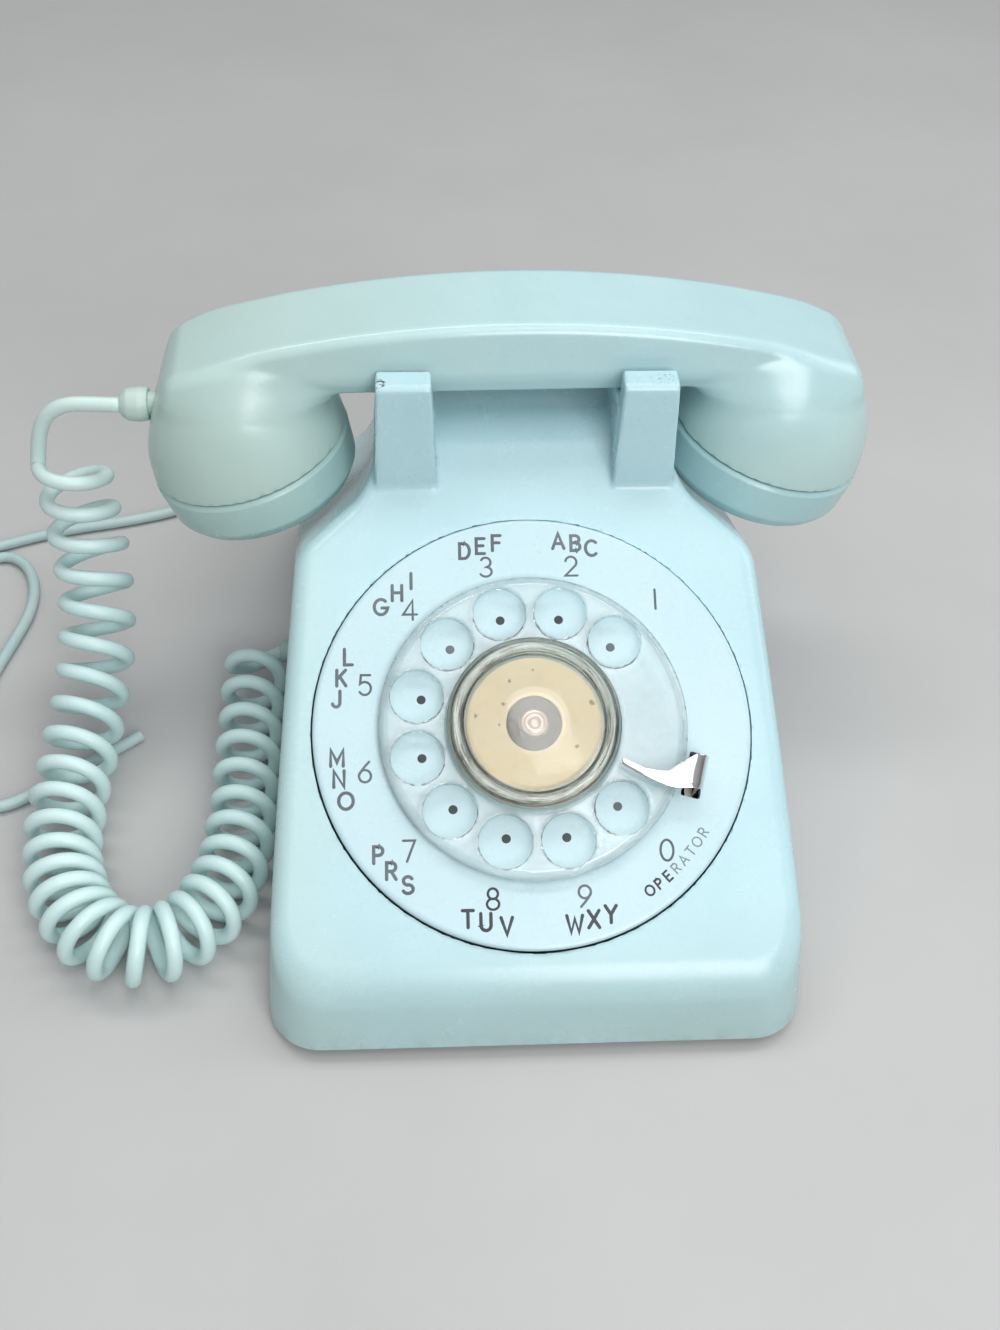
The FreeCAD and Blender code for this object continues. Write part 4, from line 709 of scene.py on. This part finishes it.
# ------------------------------------------------------------------ handset
def handset(x, v, z):
    ax, av = np.abs(x), np.abs(v)
    top = 131.7 - ax * ax / 640.0 - np.maximum(0, ax - 60.0) ** 2 / 520.0
    steep = ax / 320.0 + np.maximum(0, ax - 60.0) / 260.0
    crown = (z - top) / np.sqrt(1 + steep * steep)
    low = np.maximum(z - 80.0, 0)
    end = (ax - 101.9 + 0.0071 * low * low) / np.sqrt(1 + (0.0142 * low) ** 2)
    profile = rmax(end, crown, 2.2)
    half = 15.2 - 3.6 * np.clip((ax - 76.0) / 17.0, 0, 1.2) ** 2
    side = (av - half - np.clip(top - z, -6, 30) * 0.14) * 0.99
    chamfer = (av - 17.2) * 0.897 + (117.4 - z) * 0.441
    handle = rmax(rmax(side, chamfer, 1.2), 111.3 - z, 1.6)
    handle = rmax(handle, (ax - 96.0 + 0.4 * (117.0 - z)) * 0.928, 3.5)
    a = (ax - 73.6) * 0.990 - (z - 85.0) * 0.139
    h = np.maximum((ax - 73.6) * 0.139 + (z - 85.0) * 0.990, 0)
    r = np.hypot(a, v)
    q = np.sqrt((r / 28.3) ** 2 + (h / 40.5) ** 2)
    g = np.sqrt((r / 800.89) ** 2 + (h / 1640.25) ** 2) + 1e-6
    body = rmin(handle, q * (q - 1) / g, 4.5 + 7.5 * np.clip((121.0 - z) / 12.0, 0, 1))
    body = rmax(body, profile, 0.5 + 2.3 * np.clip((z - 92.0) / 16.0, 0, 1))
    c, k = math.cos(LEAN), math.sin(LEAN)
    h = (ax - 73.6) * k + (z - 85.0) * c
    r = np.hypot((ax - 73.6) * c - (z - 85.0) * k, v)
    seam = rmax(body, 2.35 - h, 0.45)
    neck = np.maximum(r - 25.0, np.maximum(-6.0 - h, h - 4.5))
    d = np.minimum(seam, neck)
    d = np.maximum(d, -np.maximum(r - 23.0, np.maximum(h - 14.0, -9.0 - h)))
    return np.maximum(d, -np.maximum(np.hypot(v, z - 100.0) - 3.5, x + 82.0))


hx = [(-105.4, -40.0, 0.95), (-40.0, 40.0, 1.3), (40.0, 105.4, 0.95)]
v, f = contour(handset, lines(*hx), lines((-30.4, 30.4, 0.95)), lines((71.8, 133.6, 0.95)))
add_mesh("handset_moulding", on_hand(v), f, "handset_plastic", "handset", ("handset_shell",), sharp=42.0)

cap_outline = soften([(25.1, 1.6), (27.7, 1.6, 0.6), (28.65, 0.45, 0.9), (27.8, -9.4, 3.0), (25.2, -13.4, 3.5), (20.5, -14.0, 4.0), (11.0, -13.2, 10.0), (0.0, -12.8),
                      (0.0, -10.2), (22.6, -10.6), (25.1, -7.8)])
for s, name, rings in ((-1, "transmitter_cap", 3), (1, "receiver_cap", 2)):
    v, f = turned(cap_outline[::-1], 120)
    o = add_mesh(name + "_moulding", on_end(s, v), f, "cap_plastic", None, slot="handset_plastic")
    parts = []
    for k in range(rings):
        n = 6 * (k + 1)
        for i in range(n):
            a = 2 * math.pi * i / n
            pv, pf = turned([(0.0, -17.0), (1.1, -17.0), (1.1, -8.0), (0.0, -8.0)], 14)
            parts.append((on_end(s, pv + np.array((5.0 * (k + 1) * math.cos(a), 5.0 * (k + 1) * math.sin(a), 0))), pf))
    pv, pf = join(*parts)
    me = bpy.data.meshes.new("drill")
    me.from_pydata((pv * MM).tolist(), [], pf)
    drill = link(bpy.data.objects.new("drill", me))
    mod = o.modifiers.new("holes", "BOOLEAN")
    mod.operation, mod.solver, mod.object = "DIFFERENCE", "EXACT", drill
    done = bpy.data.meshes.new_from_object(o.evaluated_get(bpy.context.evaluated_depsgraph_get()))
    o.modifiers.clear()
    o.data = done
    bpy.data.objects.remove(drill)
    done.shade_smooth()
    done.set_sharp_from_angle(angle=math.radians(35))
    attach(o, "handset")
    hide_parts(name)

boot = soften([(2.3, -2.0), (3.3, -2.0), (3.35, 0.0), (4.5, 0.2, 0.3), (4.85, 2.8, 3.0), (4.5, 6.0, 2.0), (3.1, 7.9, 1.0), (2.3, 7.9, 0.2)], 4)
v, f = turned(boot, 40)
v = on_hand(np.stack([-99.9 - v[:, 2], v[:, 0], 100.0 - v[:, 1]], 1))
add_mesh("handset_boot", v, f, "cord_boot", "handset", ("handset_cord_boot",))


# ------------------------------------------------------------------ dial: number plate, print, wheel
def number_plate(u, v, w):
    r = np.hypot(u, v)
    d = rmax(r - 57.0, np.maximum(w - 0.0, -3.4 - w), 0.9)
    d = np.maximum(d, 4.2 - r)
    slot = rmax(np.abs((u - 41.5) * 0.96 - (v + 13.4) * 0.28) - 2.5, np.abs((u - 41.5) * 0.28 + (v + 13.4) * 0.96) - 5.9, 0.6)
    return np.maximum(d, -slot)


grid = lines((-58.0, 58.0, 0.8))
v, f = contour(number_plate, grid, grid, lines((-4.2, -1.4, 0.7), (-1.4, 0.8, 0.3)))
add_mesh("number_plate_moulding", on_dial(v), f, "dial_plate_plastic", "base", ("dial_number_plate",), sharp=40.0)


def arc(cx, cy, rx, ry, a0, a1, n=12):
    return [(cx + rx * math.cos(math.radians(a0 + (a1 - a0) * i / n)), cy + ry * math.sin(math.radians(a0 + (a1 - a0) * i / n))) for i in range(n + 1)]


SIX = [[(0.20, 1.0), (0.02, 0.80), (-0.16, 0.58), (-0.27, 0.38)] + arc(0, 0.30, 0.29, 0.30, 165, 525, 20)]
GLYPH = {
    "0": [arc(0, 0.5, 0.31, 0.5, 90, 450, 26)], "1": [[(0, 0), (0, 1)]],
    "2": [arc(0, 0.71, 0.28, 0.29, 168, -38) + [(-0.30, 0.0), (0.31, 0.0)]],
    "3": [arc(-0.02, 0.745, 0.25, 0.255, 150, -90) + arc(-0.02, 0.255, 0.30, 0.255, 82, -150)],
    "4": [[(0.13, 0.0), (0.13, 1.0), (-0.34, 0.27), (0.34, 0.27)]],
    "5": [[(0.25, 1.0), (-0.20, 1.0), (-0.24, 0.56)] + arc(-0.01, 0.33, 0.30, 0.33, 128, -148)],
    "6": SIX, "7": [[(-0.28, 1.0), (0.29, 1.0), (-0.10, 0.0)]],
    "8": [arc(0, 0.75, 0.24, 0.25, -90, 270, 20), arc(0, 0.26, 0.29, 0.26, 90, 450, 20)],
    "9": [[(-x, 1 - y) for x, y in SIX[0]]],
    "A": [[(-0.36, 0), (0, 1), (0.36, 0)], [(-0.23, 0.33), (0.23, 0.33)]],
    "B": [[(-0.27, 0.52), (0.03, 0.52)] + arc(0.03, 0.76, 0.23, 0.24, -90, 90, 8) + [(-0.27, 1), (-0.27, 0), (0.03, 0)] + arc(0.03, 0.26, 0.28, 0.26, -90, 90, 8)],
    "C": [arc(0.04, 0.5, 0.40, 0.5, 48, 312, 18)],
    "D": [[(-0.28, 0), (-0.28, 1), (-0.02, 1)] + arc(-0.02, 0.5, 0.36, 0.5, 90, -90, 14) + [(-0.28, 0)]],
    "E": [[(0.27, 1), (-0.24, 1), (-0.24, 0), (0.27, 0)], [(-0.24, 0.52), (0.19, 0.52)]],
    "F": [[(0.27, 1), (-0.24, 1), (-0.24, 0)], [(-0.24, 0.52), (0.19, 0.52)]],
    "G": [arc(0.0, 0.5, 0.42, 0.5, 48, 350, 18) + [(0.42, 0.44), (0.06, 0.44)]],
    "H": [[(-0.3, 0), (-0.3, 1)], [(0.3, 0), (0.3, 1)], [(-0.3, 0.52), (0.3, 0.52)]],
    "I": [[(0, 0), (0, 1)]],
    "J": [[(0.18, 1), (0.18, 0.28)] + arc(-0.05, 0.26, 0.23, 0.26, 0, -165, 10)],
    "K": [[(-0.26, 0), (-0.26, 1)], [(0.28, 1), (-0.26, 0.40)], [(-0.08, 0.60), (0.30, 0)]],
    "L": [[(-0.22, 1), (-0.22, 0), (0.26, 0)]],
    "M": [[(-0.38, 0), (-0.38, 1), (0, 0.22), (0.38, 1), (0.38, 0)]],
    "N": [[(-0.31, 0), (-0.31, 1), (0.31, 0), (0.31, 1)]],
    "O": [arc(0, 0.5, 0.44, 0.5, 90, 450, 24)],
    "P": [[(-0.26, 0), (-0.26, 1), (0.03, 1)] + arc(0.03, 0.74, 0.26, 0.26, 90, -90, 10) + [(-0.26, 0.48)]],
    "R": [[(-0.26, 0), (-0.26, 1), (0.03, 1)] + arc(0.03, 0.74, 0.26, 0.26, 90, -90, 10) + [(-0.26, 0.48)], [(0.02, 0.48), (0.30, 0)]],
    "S": [arc(0, 0.75, 0.27, 0.25, 30, 262, 12) + arc(0, 0.26, 0.31, 0.26, 82, -155, 14)],
    "T": [[(-0.32, 1), (0.32, 1)], [(0, 1), (0, 0)]],
    "U": [[(-0.30, 1), (-0.30, 0.31)] + arc(0, 0.31, 0.30, 0.31, 180, 360, 12) + [(0.30, 1)]],
    "V": [[(-0.34, 1), (0, 0), (0.34, 1)]], "W": [[(-0.47, 1), (-0.23, 0), (0, 0.82), (0.23, 0), (0.47, 1)]],
    "X": [[(-0.32, 1), (0.32, 0)], [(0.32, 1), (-0.32, 0)]], "Y": [[(-0.33, 1), (0, 0.48), (0.33, 1)], [(0, 0.48), (0, 0)]],
}


def stroke(pts, width, proud=0.05):
    """A printed line: a low ridge with round ends along a flat run of points, standing on the plate."""
    pts = np.asarray(pts, float)
    loop = np.linalg.norm(pts[0] - pts[-1]) < 1e-4
    if loop:
        pts = pts[:-1]
    n = len(pts)
    t = (np.roll(pts, -1, 0) - pts)
    t /= np.linalg.norm(t, axis=1)[:, None] + 1e-12
    rows = []
    across = np.array((-1.0, -0.7, 0.0, 0.7, 1.0))
    lift = np.array((-0.02, 0.8, 1.0, 0.8, -0.02)) * proud
    for i in range(n):
        if loop:
            a, b = t[i - 1], t[i]
        else:
            a, b = (t[i - 1] if i else t[0]), (t[i] if i < n - 1 else t[n - 2])
        m = a + b
        m /= np.linalg.norm(m) + 1e-12
        side = np.array((-m[1], m[0])) / max(0.45, float(m @ a))
        rows.append(np.concatenate([pts[i] + np.outer(across * width / 2, side), lift[:, None]], 1))
    if not loop:
        for at, d, row in ((0, -t[0], rows[0]), (n - 1, t[n - 2], rows[-1])):
            extra = []
            for k in (1, 2, 3):
                ph = math.radians(30.0 * k)
                mid = pts[at] + d * (width / 2) * math.sin(ph)
                r = row.copy()
                r[:, :2] = mid + (row[:, :2] - pts[at]) * max(0.08, math.cos(ph))
                extra.append(r)
            rows = extra[::-1] + rows if at == 0 else rows + extra
    verts = np.concatenate(rows)
    faces = []
    count = len(rows)
    for i in range(count if loop else count - 1):
        j = (i + 1) % count
        for k in range(4):
            faces.append((5 * i + k, 5 * j + k, 5 * j + k + 1, 5 * i + k + 1)[::-1])
    return verts, faces


def dial_text(marks, height, width):
    parts = []
    for ch, u, v, turn in marks:
        c, k = math.cos(turn), math.sin(turn)
        for s in GLYPH[ch]:
            p = (np.array(s) - (0.0, 0.5)) * height
            sv, sf = stroke(p, width)
            sv[:, :2] = sv[:, :2] @ np.array(((c, k), (-k, c))) + (u, v)
            parts.append((sv, sf))
    v, f = join(*parts)
    return on_dial(v), f


DIGITS = [("1", 33.68, 34.22), ("2", 11.61, 43.71), ("3", -11.1, 43.71), ("4", -31.44, 32.07), ("5", -43.34, 11.93), ("6", -43.43, -10.96),
          ("7", -32.42, -31.41), ("8", -11.48, -43.92), ("9", 11.76, -43.7), ("0", 33.2, -32.56)]
LETTERS = [("A", 8.39, 50.79), ("B", 12.94, 50.17), ("C", 17.18, 48.71), ("D", -16.87, 48.27), ("E", -12.56, 49.62), ("F", -8.26, 50.42),
           ("G", -39.05, 33.0), ("H", -34.81, 36.79), ("I", -31.08, 40.07), ("L", -47.73, 19.52), ("K", -49.55, 13.91), ("J", -50.58, 8.32),
           ("M", -50.57, -7.19), ("N", -50.06, -12.65), ("O", -48.28, -18.35), ("P", -40.24, -32.25), ("R", -37.01, -36.34), ("S", -32.77, -39.94),
           ("T", -17.87, -48.74), ("U", -13.38, -49.59), ("V", -8.15, -50.7), ("W", 8.95, -50.61), ("X", 13.79, -49.48), ("Y", 18.14, -48.34)]
dark = set("8WXYTUV")
for name, mat, some in (("dial_figures_dark", "print_ink", True), ("dial_figures", "worn_ink", False)):
    v1, f1 = dial_text([(c, u, w, 0.0) for c, u, w in DIGITS if (c in dark) == some], 5.3, 0.64)
    v2, f2 = dial_text([(c, u, w, 0.0) for c, u, w in LETTERS if (c in dark) == some], 4.2, 0.88)
    v, f = join((v1, f1), (v2, f2))
    add_mesh(name, v, f, mat, "base", slot="dial_plate_plastic", sharp=0)
word = []
for i, ch in enumerate("OPERATOR"):
    a = math.radians(-56.4 + (56.4 - 33.4) * i / 7.0)
    word.append((ch, 51.2 * math.cos(a), 51.2 * math.sin(a), a + math.pi / 2))
add_mesh("dial_small_word_dark", *dial_text(word[:3], 2.5, 0.55), "print_ink", "base", slot="dial_plate_plastic", sharp=0)
add_mesh("dial_small_word", *dial_text(word[3:], 2.5, 0.38), "faded_ink", "base", slot="dial_plate_plastic", sharp=0)
for name, mat, some in (("dial_dots", "print_ink", (1, 2, 4, 5, 6, 7, 8)), ("dial_dots_worn", "worn_ink", (0, 3, 9))):
    dots = []
    for i in some:
        a = math.radians(45.0 + 30.0 * i)
        pv, pf = turned([(1.22, -0.02), (1.10, 0.045), (0.7, 0.06), (0.0, 0.06)], 28, closed=False)
        dots.append((pv + np.array((29.84 * math.cos(a), 29.84 * math.sin(a), 0.0)), pf))
    v, f = join(*dots)
    add_mesh(name, on_dial(v), f, mat, "base", slot="dial_plate_plastic", sharp=0)


def finger_wheel(u, v, w):
    r = np.hypot(u, v)
    ang = np.degrees(np.arctan2(v, u))
    disc = rmax(r - 40.0, np.maximum(w - 3.8, 1.2 - w), 0.3)
    disc = rmax(disc, (r - 40.0) * 0.536 + (w - 2.4) * 0.843, 0.25)
    hub = rmax(r - 22.4, np.maximum(w - 5.6, 1.2 - w), 0.5)
    d = rmin(disc, hub, 0.7)
    k = np.clip(np.round((np.mod(ang - 45.0 + 15.0, 360.0) - 15.0) / 30.0), 0, 9)
    b = np.radians(45.0 + 30.0 * k)
    hole = np.hypot(u - 31.0 * np.cos(b), v - 31.0 * np.sin(b)) - 6.9
    d = rmax(d, -hole, 0.55)
    d = np.maximum(d, 3.05 - r)
    return np.maximum(d, -np.maximum(r - 18.0, 4.4 - w))


grid = lines((-40.8, 40.8, 0.55))
v, f = contour(finger_wheel, grid, grid, lines((0.7, 6.1, 0.45)))
add_mesh("finger_wheel_moulding", on_dial(v), f, "clear_plastic", "finger_wheel", ("finger_wheel",), sharp=40.0)
cover = soften([(0.0, 6.6), (8.0, 6.6, 3.0), (17.2, 5.66, 0.5), (22.4, 5.66, 0.2), (22.4, 6.5, 0.3), (21.7, 7.3, 0.3), (21.35, 7.3, 0.1), (21.1, 8.3, 0.3), (20.6, 8.55, 0.3),
                (18.9, 8.45, 0.4), (18.2, 7.5, 0.3), (16.6, 7.78, 1.5), (9.0, 8.0, 6.0), (0.0, 8.06)], 4)
v, f = turned(cover, 128)
add_mesh("card_cover", on_dial(v), f, "cover_plastic", "finger_wheel", ("card_retainer",), "clear_plastic", sharp=32.0)
v, f = turned(soften([(3.8, 4.42), (7.1, 4.42), (7.1, 4.75, 0.1), (6.6, 4.85, 0.1), (4.4, 4.6, 0.2), (3.8, 4.6, 0.1)], 3), 72)
add_mesh("hub_washer", on_dial(v), f, "dark_moulding", "finger_wheel", slot="screw_steel")
rings = [(0.0, 4.45), (3.6, 4.45), (3.6, 5.9, 0.3), (3.15, 6.2, 0.2), (2.7, 6.05, 0.1), (2.3, 6.2, 0.1), (1.7, 6.2, 0.1), (1.3, 5.95, 0.1), (0.9, 6.15, 0.1), (0.0, 6.2)]
v, f = turned(soften(rings, 3), 64)
v2, f2 = turned([(0.0, -1.05), (1.2, -1.05), (1.2, 4.45), (0.0, 4.45)], 24)
v, f = join((v, f), (v2, f2))
add_mesh("hub_screw", on_dial(v), f, "hub_screw_steel", "finger_wheel", ("dial_hub_screw",), "screw_steel", sharp=30.0)

# finger stop: a bent strip out of the slot, its arm narrowing towards the hub
rows = [((42.0, -17.9, w), (44.1, -9.3, w)) for w in (-5.4, -3.0, 0.0, 2.0, 3.5)]
for k in range(1, 8):
    a = math.radians(90.0 * k / 7)
    d, w = 3.2 * (1 - math.cos(a)), 3.5 + 3.2 * math.sin(a)
    rows.append(((42.0 - 0.967 * d, -17.9 + 0.08 * d, w), (44.1 - 0.967 * d, -9.3 + 0.08 * d, w)))
for lu, lv, hu, hv, w in ((37.9, -17.65, 39.7, -9.7, 6.72), (36.8, -17.75, 37.9, -10.7, 6.74), (35.3, -17.65, 35.8, -12.1, 6.78), (33.4, -17.2, 33.65, -13.15, 6.84),
                          (30.6, -16.15, 30.75, -13.1, 6.88), (27.5, -14.75, 27.65, -12.5, 6.9), (24.6, -13.05, 24.7, -11.0, 6.88), (22.6, -11.8, 22.7, -9.95, 6.82),
                          (21.9, -11.2, 22.0, -9.75, 6.8)):
    rows.append(((lu, lv, w), (hu, hv, w)))
ends = np.array(rows)
mid = ends.mean(1)
tan = np.gradient(mid, axis=0)
tan /= np.linalg.norm(tan, axis=1)[:, None]
out = np.cross(ends[:, 1] - ends[:, 0], tan)
out /= np.linalg.norm(out, axis=1)[:, None]
verts, faces, across = [], [], 7
for layer in (0.6, -0.6):
    for i in range(len(rows)):
        for k in range(across):
            t = k / (across - 1)
            dish = 0.16 * (1 - (2 * t - 1) ** 2) if i > 11 else 0.0
            verts.append(tuple(ends[i, 0] + (ends[i, 1] - ends[i, 0]) * t + out[i] * (layer + dish)))
n, half = len(rows), len(rows) * across
for i in range(n - 1):
    for k in range(across - 1):
        a, b = i * across + k, (i + 1) * across + k
        faces.append((a, a + 1, b + 1, b))
        faces.append((half + a, half + b, half + b + 1, half + a + 1))
    for k, rev in ((0, False), (across - 1, True)):
        a, b = i * across + k, (i + 1) * across + k
        q = (a, b, half + b, half + a)
        faces.append(q[::-1] if rev else q)
for i, rev in ((0, True), (n - 1, False)):
    for k in range(across - 1):
        a = i * across + k
        q = (a, a + 1, half + a + 1, half + a)
        faces.append(q[::-1] if rev else q)
stop = add_mesh("finger_stop_strip", on_dial(verts), faces, "chrome", None, sharp=40.0)
bm = bmesh.new()
bm.from_mesh(stop.data)
bmesh.ops.recalc_face_normals(bm, faces=bm.faces)
edges = [e for e in bm.edges if len(e.link_faces) == 2 and e.calc_face_angle(0) > 0.9]
bmesh.ops.bevel(bm, geom=edges, offset=0.00018, segments=2, affect="EDGES", profile=0.6)
bm.to_mesh(stop.data)
bm.free()
stop.data.shade_smooth()
stop.data.set_sharp_from_angle(angle=math.radians(50))
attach(stop, "base")
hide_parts("finger_stop")

# ------------------------------------------------------------------ feet, grommet, strain relief
parts = []
for x in (-55.0, 55.0):
    for y in (-98.0, 98.0):
        v, f = turned(soften([(0.0, 0.0), (10.6, 0.0, 0.7), (12.0, 0.9, 0.5), (11.6, 1.9, 0.3), (11.2, 2.2, 0.2), (11.6, 2.6, 0.3), (11.0, 4.3, 0.4), (7.0, 4.3), (7.0, 4.95),
                              (2.9, 4.95), (2.9, 6.6), (3.9, 6.62, 0.2), (2.4, 8.6, 0.4), (0.0, 8.6)], 4), 64)
        parts.append((v + np.array((x, y, 0.0)), f))
v, f = join(*parts)
add_mesh("feet_moulding", v, f, "foot_rubber", "base", ("rubber_feet",))
v, f = turned(soften([(2.2, -0.4, 0.3), (3.5, -0.4, 0.5), (3.5, 7.4), (4.7, 7.4, 0.3), (4.7, 9.2, 0.3), (2.2, 9.2)], 4), 48)
v = np.stack([-72.5 + v[:, 2], 24.0 + v[:, 1], 12.0 - v[:, 0]], 1)
add_mesh("cord_grommet", v, f, "cord_boot", "base", ("base_cord_grommet",))
ribs = [(1.9, 106.0), (4.1, 106.0), (4.1, 111.6), (5.2, 111.7, 0.3)]
for k in range(4):
    r = 5.1 - 0.58 * k
    ribs += [(r, 113.0 + 2.2 * k, 0.3), (r - 0.9, 113.3 + 2.2 * k, 0.2), (r - 1.05, 114.3 + 2.2 * k, 0.2), (r - 0.5, 114.7 + 2.2 * k, 0.3)]
ribs += [(2.6, 121.8, 0.3), (1.9, 121.8)]
v, f = turned(soften(ribs, 3), 48)
v = np.stack([-30.0 + v[:, 0], v[:, 2], 12.0 - v[:, 1]], 1)
add_mesh("line_strain_relief", v, f, "line_jacket", "base", ("line_cord_strain_relief",), "cord_boot")

# ------------------------------------------------------------------ materials of the CAD pieces that stay
KEEP = {
    "baseplate": "plated_steel", "housing_screws": "screw_steel", "network_block": "dark_moulding", "network_terminal_screws": "brass",
    "ringer_frame": "plated_steel", "ringer_coil": "coil_tape", "bell_gong_left": "brass", "bell_gong_right": "brass", "gong_screws": "screw_steel",
    "volume_wheel_brackets": "plated_steel", "hookswitch_bracket": "plated_steel", "hook_pivot_pin": "screw_steel", "hook_return_spring": "spring_steel",
    "hook_contact_springs": "contact_nickel", "dial_frame": "plated_steel", "dial_rear_bridge": "plated_steel", "governor_cup": "brass",
    "dial_main_spring": "spring_steel", "pulse_contact_springs": "contact_nickel", "dial_mount_brackets": "plated_steel", "dial_mount_screws": "screw_steel",
    "cord_tie": "tie_plastic", "number_card": "card_paper", "dial_shaft": "screw_steel", "dial_main_gear": "brass", "intermediate_shaft": "screw_steel",
    "intermediate_gear": "brass", "pulse_cam": "dark_moulding", "governor_shaft": "screw_steel", "governor_weights": "brass", "hook_lever": "plated_steel",
    "plunger_left": "plunger_plastic", "plunger_right": "plunger_plastic", "clapper": "plated_steel", "ringer_volume_wheel": "dark_moulding",
    "transmitter_cup": "dark_moulding", "transmitter_capsule": "capsule_metal", "receiver_capsule": "capsule_metal",
}
for name, mat in KEEP.items():
    data = NODES[name].data
    data.materials.clear()
    data.materials.append(MAT[mat])

# ------------------------------------------------------------------ floor and light
m, t = tree("floor_paper")
c = coords(t)
s = surface(t, Roughness=0.9)
t.links.new(mixed(t, remap(t, noise(t, c, 6.0, 5.0, 0.6), 0.3, 0.7), (0.44, 0.44, 0.436), (0.48, 0.48, 0.476)), s.inputs["Base Color"])
bumps(t, noise(t, c, 900.0, 3.0, 0.6), 0.05, 0.0004, s.inputs["Normal"])
me = bpy.data.meshes.new("floor")
me.from_pydata([(-4, -4, 0), (4, -4, 0), (4, 4, 0), (-4, 4, 0)], [], [(0, 1, 2, 3)])
me.materials.append(m)
floor = link(bpy.data.objects.new("floor", me))

world = bpy.data.worlds.new("studio")
world.use_nodes = True
t = world.node_tree
sky = mixed(t, remap(t, axis_of(t, node(t, "ShaderNodeTexCoord").outputs["Generated"], 2), 0.0, 0.9, 0.0, 1.0, True), (0.19, 0.192, 0.195), (0.42, 0.43, 0.44))
t.links.new(sky, t.nodes["Background"].inputs["Color"])
SCENE.world = world


def softbox(name, place, aim, size, power, colour=(1, 1, 1)):
    l = bpy.data.lights.new(name, "AREA")
    l.shape, l.size, l.size_y, l.energy, l.color = "RECTANGLE", size[0], size[1], power, colour
    o = link(bpy.data.objects.new(name, l))
    o.location = place
    o.rotation_mode = "QUATERNION"
    o.rotation_quaternion = (Vector(aim) - Vector(place)).to_track_quat("-Z", "Y")
    return o


softbox("overhead", (0.12, -0.42, 1.15), (0.0, -0.04, 0.06), (0.8, 0.7), 3.5)
softbox("front", (0.20, -0.70, 0.54), (0.0, 0.0, 0.09), (0.4, 0.4), 3.6)
softbox("side", (1.1, 0.25, 0.75), (0.0, 0.0, 0.06), (0.5, 0.9), 3.0)
softbox("strip", (0.0, 0.30, 1.15), (0.0, 0.03, 0.10), (1.2, 0.22), 5.5)
softbox("window", (0.11, -0.43, 1.10), (0.0, -0.05, 0.06), (0.11, 0.20), 0.22)

SCENE.view_settings.view_transform = "Standard"
SCENE.view_settings.look = "None"
SCENE.view_settings.exposure = 0.0
SCENE.view_settings.gamma = 1.0
